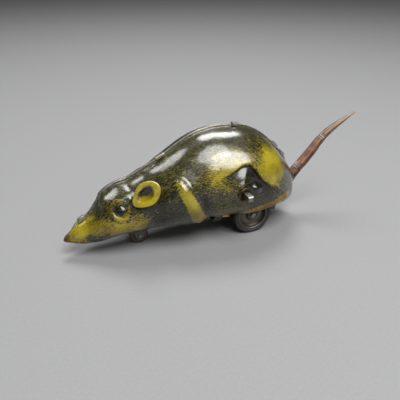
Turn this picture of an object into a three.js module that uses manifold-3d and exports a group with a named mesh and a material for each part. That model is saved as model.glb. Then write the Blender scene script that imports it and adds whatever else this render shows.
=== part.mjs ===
// A clockwork mouse: a pressed-tin body in two halves, closed along a seam over its back, on a wound-spring
// movement that drives two rear wheels. A roller under the throat carries the front, the ears are tin cups,
// the tail is a tapered coil spring, and a square stem for a loose key stands out of the left flank.
//
// Millimetres. While it is drawn, x runs from the nose to the rump, y = 0 is the seam plane with the mouse's
// left side at -y, and z = 0 is the ground. The last lines move the origin to the foot of the whole box.
import * as THREE from "three";
import { mergeVertices } from "three/addons/utils/BufferGeometryUtils.js";
import { LoftGeometry } from "three/addons/geometries/LoftGeometry.js";
import Module from "manifold-3d";

const wasm = await Module();
wasm.setup();

// ---- driving dimensions -------------------------------------------------------------------------------

// The body outline below is drawn at this length, height and width, and stretched to the sizes after it.
const drawnLength = 118.3;
const drawnHeight = 53;
const drawnWidth = 43.2;
const bodyLength = 118.3;
const bodyHeight = 53;
const bodyWidth = 43.2;

const fit = 0.3; // gap between pieces that touch
const pressFit = 0.15; // gap all round a shaft fixed in its hole
const bearing = 0.2; // gap all round a shaft that turns in its hole

const sheet = 0.5; // tin plate of the body and ears
const flangeHeight = 1.1; // how far the seam stands proud of the back
const flangeThickness = 0.45;
const tabThickness = 0.4;

const plateThickness = 1; // brass side plates of the movement
const plateGap = 16; // between the inner faces of the side plates
const plateMargin = 3.5; // brass left round the middle of each pillar
const pillarRadius = 1.5;
const pillarPivotRadius = 0.9;

const gearModule = 0.5;
const barrelTeeth = 44;
const intermediateTeeth = 32;
const pinionTeeth = 10;
const meshSlack = 0.05; // added to the distance between two gears
const gearThickness = 1.2;

const arborRadius = 1.9;
const squareSide = 2.6; // what the loose key fits on
const stemProud = 6; // how far the square stands out of the flank
const drumRadius = 10.2;
const drumWall = 0.6;
const springStrip = 0.35;
const springTurns = 6;
const ratchetTeeth = 12;
const ratchetRadius = 4.5;
const toothDepth = 0.9;

const intermediateRadius = 1;
const axleRadius = 1.25;
const wheelRadius = 10; // over the tyre
const hubRadius = 8;
const wheelWidth = 3.3;
const wheelGap = 1.5; // from the side plate to the wheel
const axleProud = 0.7; // how far the axle stands out of the wheel

const rollerRadius = 4.5;
const rollerWidth = 4;
const rollerAxleRadius = 0.8;
const forkThickness = 0.8;

const strapThickness = 0.8;
const strapWidth = 4;
const strapHeight = 9.3; // ground to the top of the belly straps
const strapClearance = 0.5; // from the rear strap to the tyres

const tailRootRadius = 2.8;
const tailTipRadius = 0.5;
const tailTaper = 2.4; // how late along its length the tail narrows
const tailPegRadius = 1.3;
const hingeGap = 1.2; // bare length where the tail bends

// ---- small helpers ------------------------------------------------------------------------------------

const quarter = Math.PI / 2;
const degrees = (angle) => (angle * Math.PI) / 180;
const along = (x) => (x * bodyLength) / drawnLength;
const upward = (z) => (z * bodyHeight) / drawnHeight;
const outward = (y) => (y * bodyWidth) / drawnWidth;

// A closed geometry as a solid that can be joined and cut.
function solidOf(geometry) {
  const bare = new THREE.BufferGeometry().setIndex(geometry.index);
  bare.setAttribute("position", geometry.getAttribute("position"));
  const merged = mergeVertices(bare, 1e-4);
  return new wasm.Manifold(
    new wasm.Mesh({
      numProp: 3,
      vertProperties: merged.attributes.position.array,
      triVerts: new Uint32Array(merged.index.array),
    }),
  );
}

// A solid back as a geometry.
function geometryOf(solid) {
  const mesh = solid.getMesh();
  const positions = new Float32Array(mesh.numVert * 3);
  for (let vertex = 0; vertex < mesh.numVert; vertex++) {
    const from = vertex * mesh.numProp;
    positions.set(mesh.vertProperties.subarray(from, from + 3), vertex * 3);
  }
  const geometry = new THREE.BufferGeometry();
  geometry.setAttribute("position", new THREE.BufferAttribute(positions, 3));
  geometry.setIndex(new THREE.BufferAttribute(new Uint32Array(mesh.triVerts), 1));
  geometry.computeVertexNormals();
  return geometry;
}

const join = (...geometries) =>
  geometryOf(geometries.map(solidOf).reduce((whole, next) => whole.add(next)));

const cut = (base, ...tools) =>
  geometryOf(tools.map(solidOf).reduce((whole, tool) => whole.subtract(tool), solidOf(base)));

// A rod along y from yLow to yHigh.
const rod = (radius, yLow, yHigh, sides = 20) =>
  new THREE.CylinderGeometry(radius, radius, yHigh - yLow, sides).translate(0, (yLow + yHigh) / 2, 0);

// A block between two corners.
const block = (low, high) =>
  new THREE.BoxGeometry(high[0] - low[0], high[1] - low[1], high[2] - low[2]).translate(
    (low[0] + high[0]) / 2,
    (low[1] + high[1]) / 2,
    (low[2] + high[2]) / 2,
  );

// A flat piece: a shape drawn in x and z, with its thickness from yLow to yHigh.
const slab = (shape, yLow, yHigh, curveSegments = 10) =>
  new THREE.ExtrudeGeometry(shape, { depth: yHigh - yLow, bevelEnabled: false, curveSegments })
    .rotateX(quarter)
    .translate(0, yHigh, 0);

// A turned piece about y: its profile is pairs of radius and y, and it closes on the axis or on itself.
const turned = (profile, sides = 24) =>
  new THREE.LatheGeometry(profile.map(([radius, y]) => new THREE.Vector2(radius, y)), sides);

// A washer-shaped turned piece: a rectangle of radius and y, spun round.
const ring = (inner, outer, yLow, yHigh, sides = 24) =>
  turned([[inner, yLow], [outer, yLow], [outer, yHigh], [inner, yHigh], [inner, yLow]], sides);

function roundHole(x, z, radius) {
  const hole = new THREE.Path();
  hole.absarc(x, z, radius, 0, 2 * Math.PI, true);
  return hole;
}

// A smooth line through [x, value] pairs that never overshoots them.
function smoothThrough(points, x) {
  const last = points.length - 1;
  const rise = (i) => (points[i + 1][1] - points[i][1]) / (points[i + 1][0] - points[i][0]);
  const slope = (i) => {
    if (i === 0) return rise(0);
    if (i === last) return rise(last - 1);
    const before = rise(i - 1);
    const after = rise(i);
    return before * after > 0 ? (2 * before * after) / (before + after) : 0;
  };
  let i = 0;
  while (i < last - 1 && x > points[i + 1][0]) i++;
  const span = points[i + 1][0] - points[i][0];
  const t = Math.min(1, Math.max(0, (x - points[i][0]) / span));
  const ends = points[i][1] * (1 + 2 * t) * (1 - t) ** 2 + points[i + 1][1] * t * t * (3 - 2 * t);
  const turns = slope(i) * t * (1 - t) ** 2 - slope(i + 1) * t * t * (1 - t);
  return ends + span * turns;
}

const toward = THREE.MathUtils.smoothstep;

// ---- the body outline -----------------------------------------------------------------------------------

const topLine = [
  [0, 9.6], [4, 12.8], [8, 16.4], [12.5, 19.3], [15.5, 22.8], [18, 27], [22, 30.5], [27, 33], [32, 33.8],
  [36, 36], [47, 41.3], [60, 49.2], [67, 51.9], [75, 53], [83, 52.6], [90, 51.1], [97, 47.6], [103, 42.8],
  [109, 36.4], [113.5, 31], [116.5, 25.5], [118.3, 19],
];
const sideLine = [
  [0, 0.9], [4, 3], [8, 5], [12.5, 6.9], [18, 10], [22, 11.4], [28, 12.4], [36, 13.8], [41, 15.5],
  [47, 17.3], [53, 18.4], [67, 20], [75, 21], [83, 21.6], [90, 21.2], [97, 19.8], [103, 17.6],
  [109, 14], [113.5, 10.5], [116.5, 6.8], [118.3, 2.4],
];
const bottomLine = [[0, 7.8], [4, 6.9], [8, 5.6], [15.5, 5.6], [22, 7.2], [32, 8], [60, 7.3], [118.3, 7.8]];
const bellyHeight = 0.47; // where between bottom and top the body is widest

const drawnX = (x) => (x * drawnLength) / bodyLength;
const topAt = (x) => upward(smoothThrough(topLine, drawnX(x)));
const bottomAt = (x) => upward(smoothThrough(bottomLine, drawnX(x)));
const widthAt = (x) => outward(smoothThrough(sideLine, drawnX(x)));
const middleAt = (x) => bottomAt(x) + bellyHeight * (topAt(x) - bottomAt(x));

// ---- places of the movement -----------------------------------------------------------------------------

const plateInner = plateGap / 2;
const plateOuter = plateInner + plateThickness;
const wheelInner = plateOuter + wheelGap;
const wheelOuter = wheelInner + wheelWidth;
const axleEnd = wheelOuter + axleProud;
const rollerX = along(35);
const forkHalf = rollerWidth / 2 + fit + forkThickness;
const forkLength = 7;

const pitchRadius = (teeth) => (teeth * gearModule) / 2;
const addendum = 0.9 * gearModule;
const dedendum = 1.15 * gearModule;
const barrelMesh = pitchRadius(barrelTeeth) + pitchRadius(pinionTeeth) + meshSlack;
const wheelMesh = pitchRadius(intermediateTeeth) + pitchRadius(pinionTeeth) + meshSlack;

const axle = new THREE.Vector2(along(90), wheelRadius);
const arborFromAxle = new THREE.Vector2(-9, 17);
const arbor = axle.clone().add(arborFromAxle);

// The middle shaft stands where both gear distances are met, behind the line from the arbor to the axle.
const betweenShafts = axle.clone().sub(arbor);
const arborToAxle = betweenShafts.length();
const alongLine = (arborToAxle ** 2 + barrelMesh ** 2 - wheelMesh ** 2) / (2 * arborToAxle);
const offLine = Math.sqrt(barrelMesh ** 2 - alongLine ** 2);
const lineDirection = betweenShafts.clone().normalize();
const intermediate = arbor
  .clone()
  .addScaledVector(lineDirection, alongLine)
  .add(new THREE.Vector2(-lineDirection.y, lineDirection.x).multiplyScalar(offLine));

// The pillars stand round the barrel gear, clear of its teeth.
const pillarClearance = 1;
const pillarReach = pitchRadius(barrelTeeth) + addendum + pillarRadius + pillarClearance;
const pillarAt = (angle, reach) =>
  new THREE.Vector2(arbor.x + reach * Math.cos(degrees(angle)), arbor.y + reach * Math.sin(degrees(angle)));
const rearPillarReach = pillarReach + 2.5;
const plateFoot = strapHeight + fit; // the plates stand on the belly straps
const lowPillarHeight = plateFoot + plateMargin + 2 * fit;
const frontFootX = arbor.x - 0.64 * pillarReach;
const rearFootX = axle.x + wheelRadius + strapClearance + strapWidth / 2;
const rearPillarX = rearFootX - 1;
const pillars = [
  ["pillar_front_top", pillarAt(145, pillarReach)],
  ["pillar_rear_top", pillarAt(32, rearPillarReach)],
  ["pillar_front_low", new THREE.Vector2(frontFootX, lowPillarHeight)],
  ["pillar_rear_low", new THREE.Vector2(rearPillarX, lowPillarHeight)],
];
const pillar = Object.fromEntries(pillars);

// ---- the two body halves --------------------------------------------------------------------------------

// Half the width of the open belly: nothing under the head, wide enough for the roller's fork and the wheels.
const bellyClearance = 0.7;
const inZone = (x, low, high, run) => toward(x, low - run, low) * (1 - toward(x, high, high + run));
function openingAt(x) {
  const share = 0.72 * toward(x, along(24), along(45)) * widthAt(x);
  const forkZone = inZone(x, rollerX - forkLength, rollerX + forkLength, along(5));
  const wheelZone = inZone(x, axle.x - wheelRadius, axle.x + wheelRadius, along(7));
  const forFork = forkZone * (forkHalf + bellyClearance + sheet);
  const forWheels = wheelZone * (axleEnd + bellyClearance + sheet);
  return Math.max(share, forFork, forWheels);
}
const edgeAngleAt = (x) => Math.PI - Math.asin(Math.min(0.999, openingAt(x) / widthAt(x)));

const seam = fit / 2;

// A point on the outside of the right half: angle 0 is the seam on the back and pi the seam below.
function skin(x, angle) {
  const middle = middleAt(x);
  const reach = angle < quarter ? topAt(x) - middle : middle - bottomAt(x);
  const y = seam + (widthAt(x) - seam) * Math.sin(angle);
  return new THREE.Vector3(x, y, middle + reach * Math.cos(angle));
}

// The direction straight out of the skin there.
function skinNormal(x, angle) {
  const step = 0.02;
  const low = Math.max(0, x - step);
  const high = Math.min(bodyLength, x + step);
  const lengthwise = skin(high, angle).sub(skin(low, angle));
  const around = skin(x, angle + step).sub(skin(x, angle - step));
  return lengthwise.cross(around).normalize();
}

// The angle at which the skin is this high above the ground, on the flank.
function angleAtHeight(x, z) {
  const middle = middleAt(x);
  const reach = z > middle ? topAt(x) - middle : middle - bottomAt(x);
  return Math.acos(THREE.MathUtils.clamp((z - middle) / reach, -1, 1));
}

const stationCount = 38;
const skinSteps = 12;
const flangeAt = (x) => flangeHeight * inZone(x, along(7), along(112), along(4));

// One half as a loft of thin closed sections, nose to rump. side is 1 for the right half, -1 for the left.
function bodyHalf(side) {
  const outerFace = [];
  const innerFace = [];
  for (let station = 0; station <= stationCount; station++) {
    const x = (bodyLength * (1 - Math.cos((Math.PI * station) / stationCount))) / 2;
    const up = skinNormal(x, 0).setY(0).normalize();
    const back = new THREE.Vector3(x, seam, topAt(x));
    const flangeFoot = Math.asin(Math.min(0.7, flangeThickness / widthAt(x)));
    const flangeEdge = back.clone().addScaledVector(up, flangeAt(x));
    const flangeSide = skin(x, flangeFoot).addScaledVector(up, flangeAt(x));
    const underFlange = back.clone().addScaledVector(up, -sheet);
    const outer = [flangeEdge, flangeSide, skin(x, flangeFoot)];
    const inner = [underFlange, underFlange, underFlange];
    const edge = edgeAngleAt(x);
    for (let step = 1; step <= skinSteps; step++) {
      const angle = flangeFoot + ((edge - flangeFoot) * step) / skinSteps;
      const inside = skin(x, angle).addScaledVector(skinNormal(x, angle), -sheet);
      inside.y = Math.max(seam, inside.y);
      outer.push(skin(x, angle));
      inner.push(inside);
    }
    outerFace.push(outer);
    innerFace.push(inner);
  }
  // Both ends close on the seam: the nose in a point, the rump in an upright line.
  const nose = new THREE.Vector3(0, seam, middleAt(0));
  outerFace.unshift(outerFace[0].map(() => nose));
  innerFace.unshift(innerFace[0].map(() => nose.clone().setX(sheet)));
  const rumpOuter = outerFace.at(-1).map((point) => point.clone().setY(seam));
  const rumpInner = innerFace.at(-1).map((point) => point.clone().setY(seam));
  const rumpMiddle = rumpOuter.map((point, i) => point.clone().lerp(rumpInner[i], 0.5));
  outerFace.push(rumpOuter, rumpMiddle);
  innerFace.push(rumpInner, rumpMiddle);

  const sections = outerFace.map((outer, i) => {
    const loop = [...outer, ...innerFace[i].toReversed()];
    const placed = loop.map((point) => new THREE.Vector3(point.x, side * point.y, point.z));
    return side > 0 ? placed.reverse() : placed;
  });
  return new LoftGeometry(sections);
}

// A tab of the right half's seam, folded over the left half's seam at x.
function seamTab(x, width) {
  const outerSide = seam + flangeThickness;
  const top = flangeHeight + fit + tabThickness;
  const reach = outerSide + fit + tabThickness;
  const root = -0.6 * sheet;
  const hook = new THREE.Shape();
  hook.moveTo(outerSide, root);
  hook.lineTo(outerSide, top - tabThickness / 2);
  hook.lineTo(outerSide - tabThickness / 2, top);
  hook.lineTo(tabThickness / 2 - reach, top);
  hook.lineTo(-reach, top - tabThickness / 2);
  hook.lineTo(-reach, fit);
  hook.lineTo(tabThickness - reach, fit);
  hook.lineTo(tabThickness - reach, flangeHeight + fit);
  hook.lineTo(seam, flangeHeight + fit);
  hook.lineTo(seam, root);
  const tab = new THREE.ExtrudeGeometry(hook, { depth: width, bevelEnabled: false });
  const up = skinNormal(x, 0).setY(0).normalize();
  const right = new THREE.Vector3(0, 1, 0);
  const turn = new THREE.Matrix4().makeBasis(right, up, right.clone().cross(up));
  return tab
    .translate(0, 0, -width / 2)
    .applyMatrix4(turn)
    .translate(x, 0, topAt(x));
}

const tabPlaces = [
  [along(9.6), 3.6],
  [along(48), 4.4],
  [along(84.5), 3],
  [along(106.5), 4],
  [along(111), 3.2],
];

const eyeletBore = squareSide * Math.SQRT1_2 + bearing + 0.1;
const eyeletWall = 0.35;
const eyeletFlange = 1;
const eyeletRim = eyeletBore + eyeletWall + eyeletFlange;

// The eyelet lies flat on the flank, so it stands on the outermost skin anywhere behind its rim.
const skinBehind = (dx, dz) => skin(arbor.x + dx, angleAtHeight(arbor.x + dx, arbor.y + dz)).y;
const rimPlaces = [-eyeletRim, 0, eyeletRim];
const flankY = Math.max(...rimPlaces.flatMap((dx) => rimPlaces.map((dz) => skinBehind(dx, dz))));

// The tail's root stands in a round hole shared by the two halves, held by a peg inside its coil.
const tailStart = new THREE.Vector3(along(117.8), 0, upward(18.9));
const tailLine = new THREE.CatmullRomCurve3(
  [[0, 0], [2.4, 3.4], [7.9, 9.2], [13.3, 15.2], [15.6, 18.3], [20.8, 23.1], [30, 28.6], [36.5, 31.9]].map(
    ([x, z]) => new THREE.Vector3(tailStart.x + x, 0, tailStart.z + z),
  ),
);
const tailDirection = tailLine.getTangentAt(0);
const coilInside = 1.2; // length of coil inside the hole
const pegTurn = new THREE.Quaternion().setFromUnitVectors(new THREE.Vector3(0, 1, 0), tailDirection);
const tailHoleRadius = tailRootRadius + fit + 0.1;
const tailHole = rod(tailHoleRadius, -3, 8).applyQuaternion(pegTurn);
tailHole.translate(tailStart.x, tailStart.y, tailStart.z);

const stemHole = rod(eyeletBore + eyeletWall + fit, -bodyWidth, -plateOuter).translate(arbor.x, 0, arbor.y);
const leftShell = cut(bodyHalf(-1), stemHole, tailHole);
const rightShell = join(cut(bodyHalf(1), tailHole), ...tabPlaces.map(([x, width]) => seamTab(x, width)));

// ---- ears -----------------------------------------------------------------------------------------------

const earLength = 15;
const earBreadth = 9.5;
const earDepth = 3.2;

// A tin cup drawn from its root: long way along x, opening toward z, with a thicker rolled rim.
function earCup() {
  const rings = 5;
  const points = 20;
  const rim = 0.5;
  const level = (share, lift) => {
    const section = [];
    for (let i = 0; i < points; i++) {
      const angle = (2 * Math.PI * i) / points;
      const x = (earLength / 2) * (1 + share * Math.cos(angle));
      const y = (earBreadth / 2) * share * Math.sin(angle);
      section.push(new THREE.Vector3(x, y, earDepth * (share * share - 1) + lift));
    }
    return section;
  };
  const sections = [];
  for (let i = 0; i <= rings; i++) sections.push(level(i / rings, sheet / 2));
  sections.push(level(1 + rim / earBreadth, sheet / 2));
  sections.push(level(1 + rim / earBreadth, -sheet / 2 - rim));
  for (let i = rings; i >= 0; i--) sections.push(level((0.96 * i) / rings, -sheet / 2));
  return new LoftGeometry(sections.reverse());
}

const earX = along(31.5);
const earClearance = 0.9; // from the skin to the middle of the ear's root

// Each ear's side, the angle of its root round the head, its long way, and the way its opening faces, the last
// two drawn for the right side. The left ear stands up, and the right one is bent out and down.
const ears = [
  ["left_ear", -1, 62, [0.62, 0.36, 0.7], [-0.5, 0.8, 0.1]],
  ["right_ear", 1, 78, [0.75, 0.66, 0], [-0.2, 0.9, 0.2]],
];

// ---- gears ----------------------------------------------------------------------------------------------

// A spur gear's outline: each tooth is four points, half widths given as shares of one tooth step.
function gearShape(teeth, rootHalf, tipHalf) {
  const step = (2 * Math.PI) / teeth;
  const root = pitchRadius(teeth) - dedendum;
  const tip = pitchRadius(teeth) + addendum;
  const corners = [[-rootHalf, root], [-tipHalf, tip], [tipHalf, tip], [rootHalf, root]];
  const points = [];
  for (let tooth = 0; tooth < teeth; tooth++)
    for (const [share, radius] of corners) {
      const angle = (tooth + share) * step;
      points.push(new THREE.Vector2(radius * Math.cos(angle), radius * Math.sin(angle)));
    }
  return new THREE.Shape(points);
}
const wheelShape = (teeth) => gearShape(teeth, 0.24, 0.1);
const pinionShape = () => gearShape(pinionTeeth, 0.2, 0.07);

// The turn that drops a pinion's tooth into the gap of the wheel it meets, both seen from the same side.
function meshTurn(wheelCentre, wheelTeeth, wheelTurn, pinionCentre) {
  const lookOut = pinionCentre.clone().sub(wheelCentre).angle();
  const teethPast = ((lookOut - wheelTurn) / (2 * Math.PI)) * wheelTeeth;
  const intoGap = ((0.5 - teethPast) * 2 * Math.PI) / pinionTeeth;
  return lookOut + Math.PI - intoGap;
}

const barrelGearLow = 2;
const barrelGearHigh = barrelGearLow + gearThickness;
const drumLow = -6;
const barrelBore = arborRadius + bearing;
const barrelGear = wheelShape(barrelTeeth);
barrelGear.holes.push(roundHole(0, 0, barrelBore));
const barrelGeometry = join(
  slab(barrelGear, barrelGearLow, barrelGearHigh, 8),
  ring(drumRadius - drumWall, drumRadius, drumLow, barrelGearLow + sheet, 36),
);
const coverThickness = 0.7;
const coverHigh = drumLow - fit;
const coverGeometry = ring(barrelBore, drumRadius, coverHigh - coverThickness, coverHigh, 36);

// The mainspring: a flat strip wound from the arbor out to the drum wall.
function springShape() {
  const stepsPerTurn = 16;
  const first = arborRadius + fit + springStrip;
  const last = drumRadius - drumWall - fit - springStrip / 2;
  const outerEdge = [];
  const innerEdge = [];
  for (let step = 0; step <= springTurns * stepsPerTurn; step++) {
    const angle = (2 * Math.PI * step) / stepsPerTurn;
    const radius = first + ((last - first) * step) / (springTurns * stepsPerTurn);
    const ray = new THREE.Vector2(Math.cos(angle), Math.sin(angle));
    outerEdge.push(ray.clone().multiplyScalar(radius + springStrip / 2));
    innerEdge.push(ray.clone().multiplyScalar(radius - springStrip / 2));
  }
  return new THREE.Shape([...outerEdge, ...innerEdge.reverse()]);
}

// ---- winding arbor, ratchet and click -------------------------------------------------------------------

const squareHalf = squareSide / 2;
const squareStart = -plateOuter - 0.2;
const stemEnd = -(flankY + stemProud);
const arborPivot = 1.2;
const stemChamfer = 0.4;
const stemFace = squareHalf - stemChamfer;
const squareSection = (half, y) => [
  new THREE.Vector3(-half, y, half),
  new THREE.Vector3(half, y, half),
  new THREE.Vector3(half, y, -half),
  new THREE.Vector3(-half, y, -half),
];
const squareStem = new LoftGeometry(
  [
    squareSection(stemFace, stemEnd),
    squareSection(squareHalf, stemEnd + stemChamfer),
    squareSection(squareHalf, -plateInner),
  ],
  { capStart: true, capEnd: true },
);
const arborGeometry = join(
  rod(arborRadius, squareStart, plateInner - fit),
  rod(arborPivot, 0, plateOuter + 0.6),
  squareStem,
);

const ratchetHigh = -plateOuter - 0.4;
const ratchetLow = ratchetHigh - gearThickness;
function ratchetShape() {
  const step = (2 * Math.PI) / ratchetTeeth;
  const points = [];
  for (let tooth = 0; tooth < ratchetTeeth; tooth++) {
    const corners = [[0, ratchetRadius], [0.06, ratchetRadius - toothDepth]];
    for (const [share, radius] of corners) {
      const angle = (tooth + share) * step;
      points.push(new THREE.Vector2(radius * Math.cos(angle), radius * Math.sin(angle)));
    }
  }
  const shape = new THREE.Shape(points);
  const bore = squareHalf + pressFit;
  shape.holes.push(
    new THREE.Path([
      new THREE.Vector2(-bore, -bore),
      new THREE.Vector2(-bore, bore),
      new THREE.Vector2(bore, bore),
      new THREE.Vector2(bore, -bore),
    ]),
  );
  return shape;
}

// The click: a short pawl on a rivet, its nose resting in a ratchet tooth.
const clickLength = 6.4;
const clickEye = 1.7;
const rivetRadius = 0.8;
const clickNoseHalf = 0.25;
const clickNoseRadius = ratchetRadius - toothDepth + clickNoseHalf + fit + 0.1;
const clickNoseAngle = degrees(96); // just behind the steep face of the tooth at 90 degrees
const clickSlope = degrees(22);
const clickNose = new THREE.Vector2(
  arbor.x + clickNoseRadius * Math.cos(clickNoseAngle),
  arbor.y + clickNoseRadius * Math.sin(clickNoseAngle),
);
const clickPivot = new THREE.Vector2(
  clickNose.x - clickLength * Math.cos(clickSlope),
  clickNose.y + clickLength * Math.sin(clickSlope),
);
function clickShape() {
  const shape = new THREE.Shape();
  shape.absarc(0, 0, clickEye, degrees(35), degrees(325), false);
  shape.lineTo(clickLength, -clickNoseHalf);
  shape.lineTo(clickLength - 0.1, clickNoseHalf);
  shape.holes.push(roundHole(0, 0, rivetRadius + bearing));
  return shape;
}

// A leaf spring over the click, clear of it by the little that the click lifts there.
function clickSpringShape() {
  const leaf = 0.35;
  const foot = 0.9;
  const [footX, footY, tipX, tipY] = [-2.2, 3, 2.6, 1.5];
  const slant = Math.atan2(tipY - footY, tipX - footX);
  const shape = new THREE.Shape();
  shape.absarc(footX, footY, foot, slant + degrees(20), slant + degrees(340), false);
  shape.lineTo(tipX, tipY);
  shape.lineTo(tipX, tipY + leaf);
  return shape;
}

// ---- side plates and pillars ----------------------------------------------------------------------------

// The plate's outline: arcs of one radius round these points, joined by straight edges.
function roundedOutline(centres, radius) {
  const shape = new THREE.Shape();
  centres.forEach((centre, i) => {
    const before = centres.at(i - 1);
    const after = centres[(i + 1) % centres.length];
    const arrive = centre.clone().sub(before).angle() - quarter;
    const leave = after.clone().sub(centre).angle() - quarter;
    shape.absarc(centre.x, centre.y, radius, arrive, leave, false);
  });
  return shape;
}

const footX = [frontFootX, rearFootX];
const footWidth = 2.4;
const footDepth = 0.5; // how far a foot reaches below its strap
const footOverlap = 2; // how far a foot runs up into the plate
const strapBottom = strapHeight - strapThickness;

function sidePlate(yLow, yHigh, arborHole) {
  const outline = [
    pillar.pillar_front_low,
    axle,
    pillar.pillar_rear_low,
    pillar.pillar_rear_top,
    pillar.pillar_front_top,
  ];
  const shape = roundedOutline(outline, plateMargin);
  shape.holes.push(roundHole(arbor.x, arbor.y, arborHole));
  shape.holes.push(roundHole(intermediate.x, intermediate.y, intermediateRadius + bearing));
  shape.holes.push(roundHole(axle.x, axle.y, axleRadius + bearing));
  for (const [, place] of pillars) shape.holes.push(roundHole(place.x, place.y, pillarPivotRadius + pressFit));
  const feet = footX.map((x) =>
    block([x - footWidth / 2, yLow, strapBottom - footDepth], [x + footWidth / 2, yHigh, plateFoot + footOverlap]),
  );
  return join(slab(shape, yLow, yHigh, 5), ...feet);
}

const pillarEnd = plateOuter + 0.5;
const pillarGeometry = () =>
  turned(
    [
      [0, -pillarEnd],
      [pillarPivotRadius, -pillarEnd],
      [pillarPivotRadius, fit - plateInner],
      [pillarRadius, fit - plateInner],
      [pillarRadius, plateInner - fit],
      [pillarPivotRadius, plateInner - fit],
      [pillarPivotRadius, pillarEnd],
      [0, pillarEnd],
    ],
    14,
  );

// ---- belly straps ---------------------------------------------------------------------------------------

// A tin strap across the belly whose ends run up inside the two body halves.
function bellyStrap(xMiddle) {
  const flatHalf = plateOuter + 1;
  const tucked = degrees(14);
  const insideSkin = (x, angle) => {
    const point = skin(x, angle).addScaledVector(skinNormal(x, angle), -sheet - 2 * fit);
    return new THREE.Vector3(x, point.y, point.z);
  };
  // Both edges of the strap follow the innermost place of the shells' edge across its width.
  const across = [-0.5, -0.25, 0, 0.25, 0.5].map((share) => xMiddle + share * strapWidth);
  const edge = Math.max(...across.map(edgeAngleAt)) - degrees(2);
  const lineAt = (x) => {
    const rightHalf = [
      new THREE.Vector3(x, flatHalf, strapBottom),
      insideSkin(x, edge),
      insideSkin(x, edge - tucked),
      insideSkin(x, edge - 2 * tucked),
    ];
    const mirrored = rightHalf.toReversed().map((point) => new THREE.Vector3(x, -point.y, point.z));
    return [...mirrored, ...rightHalf];
  };
  const inward = (line, i) => {
    const before = line[Math.max(0, i - 1)];
    const after = line[Math.min(line.length - 1, i + 1)];
    return new THREE.Vector3(0, before.z - after.z, after.y - before.y).normalize().multiplyScalar(strapThickness);
  };
  const front = lineAt(xMiddle - strapWidth / 2);
  const rear = lineAt(xMiddle + strapWidth / 2);
  const sections = front.map((point, i) => [
    point.clone().add(inward(front, i)),
    rear[i].clone().add(inward(rear, i)),
    rear[i],
    point,
  ]);
  return new LoftGeometry(sections, { capStart: true, capEnd: true });
}

const footSlot = (x, side) => {
  const y = side * (plateInner + plateThickness / 2);
  const halfX = footWidth / 2 + pressFit;
  const halfY = plateThickness / 2 + pressFit;
  return block([x - halfX, y - halfY, 0], [x + halfX, y + halfY, strapHeight + 2]);
};
const tongueRivet = 0.9;
const rivetHole = rod(tongueRivet + pressFit, -2, 20, 14).rotateX(quarter).translate(footX[0], 0, 0);

// ---- front fork and roller ------------------------------------------------------------------------------

const tongueLow = strapHeight + fit;
const tongueHigh = tongueLow + forkThickness;
const tongueHalf = 2.4;
function forkGeometry() {
  const cheek = new THREE.Shape();
  const wide = forkLength / 2 + 0.5;
  cheek.moveTo(rollerX - wide, tongueHigh);
  cheek.lineTo(rollerX - 2, rollerRadius - 0.6);
  cheek.absarc(rollerX, rollerRadius, 2, degrees(200), degrees(340), false);
  cheek.lineTo(rollerX + wide, tongueHigh);
  cheek.holes.push(roundHole(rollerX, rollerRadius, rollerAxleRadius + pressFit));
  const inner = forkHalf - forkThickness;
  const crown = block([rollerX - wide, -forkHalf, tongueLow], [rollerX + wide, forkHalf, tongueHigh]);
  const tongue = block([rollerX, -tongueHalf, tongueLow], [footX[0] + 2.4, tongueHalf, tongueHigh]);
  return cut(
    join(slab(cheek, inner, forkHalf, 8), slab(cheek, -forkHalf, -inner, 8), crown, tongue),
    rivetHole,
  );
}

// ---- wheels ---------------------------------------------------------------------------------------------

// A pressed wheel, dished between its rim and its boss. The axle is its y axis and the outside is +y.
function wheelHub() {
  const bore = axleRadius + pressFit;
  const boss = bore + 1.3;
  const rimInside = hubRadius - 0.8;
  const rimInset = 0.2;
  const [webLow, webHigh] = [1, 1.7];
  return turned(
    [
      [bore, 0],
      [boss, 0],
      [boss, webLow],
      [rimInside, webLow],
      [rimInside, rimInset],
      [hubRadius, rimInset],
      [hubRadius, wheelWidth - rimInset],
      [rimInside, wheelWidth - rimInset],
      [rimInside, webHigh],
      [boss, webHigh],
      [boss, wheelWidth],
      [bore, wheelWidth],
      [bore, 0],
    ],
    22,
  );
}

function tyre() {
  const inner = hubRadius + pressFit;
  const crown = 0.5;
  return turned(
    [
      [inner, 0],
      [wheelRadius - crown, 0],
      [wheelRadius, crown],
      [wheelRadius, wheelWidth - crown],
      [wheelRadius - crown, wheelWidth],
      [inner, wheelWidth],
      [inner, 0],
    ],
    28,
  );
}

function roller() {
  const bore = rollerAxleRadius + bearing;
  const half = rollerWidth / 2;
  const round = 0.7;
  return turned(
    [
      [bore, -half],
      [rollerRadius - round, -half],
      [rollerRadius, round - half],
      [rollerRadius, half - round],
      [rollerRadius - round, half],
      [bore, half],
      [bore, -half],
    ],
    24,
  );
}

// ---- tail -----------------------------------------------------------------------------------------------

const tailLength = tailLine.getLength();
const bends = [8.3, 28]; // lengths along the tail at which it bends
const tailRadiusAt = (length) => {
  const share = Math.max(0, length) / tailLength;
  return THREE.MathUtils.lerp(tailRootRadius, tailTipRadius, share ** tailTaper);
};

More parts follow.
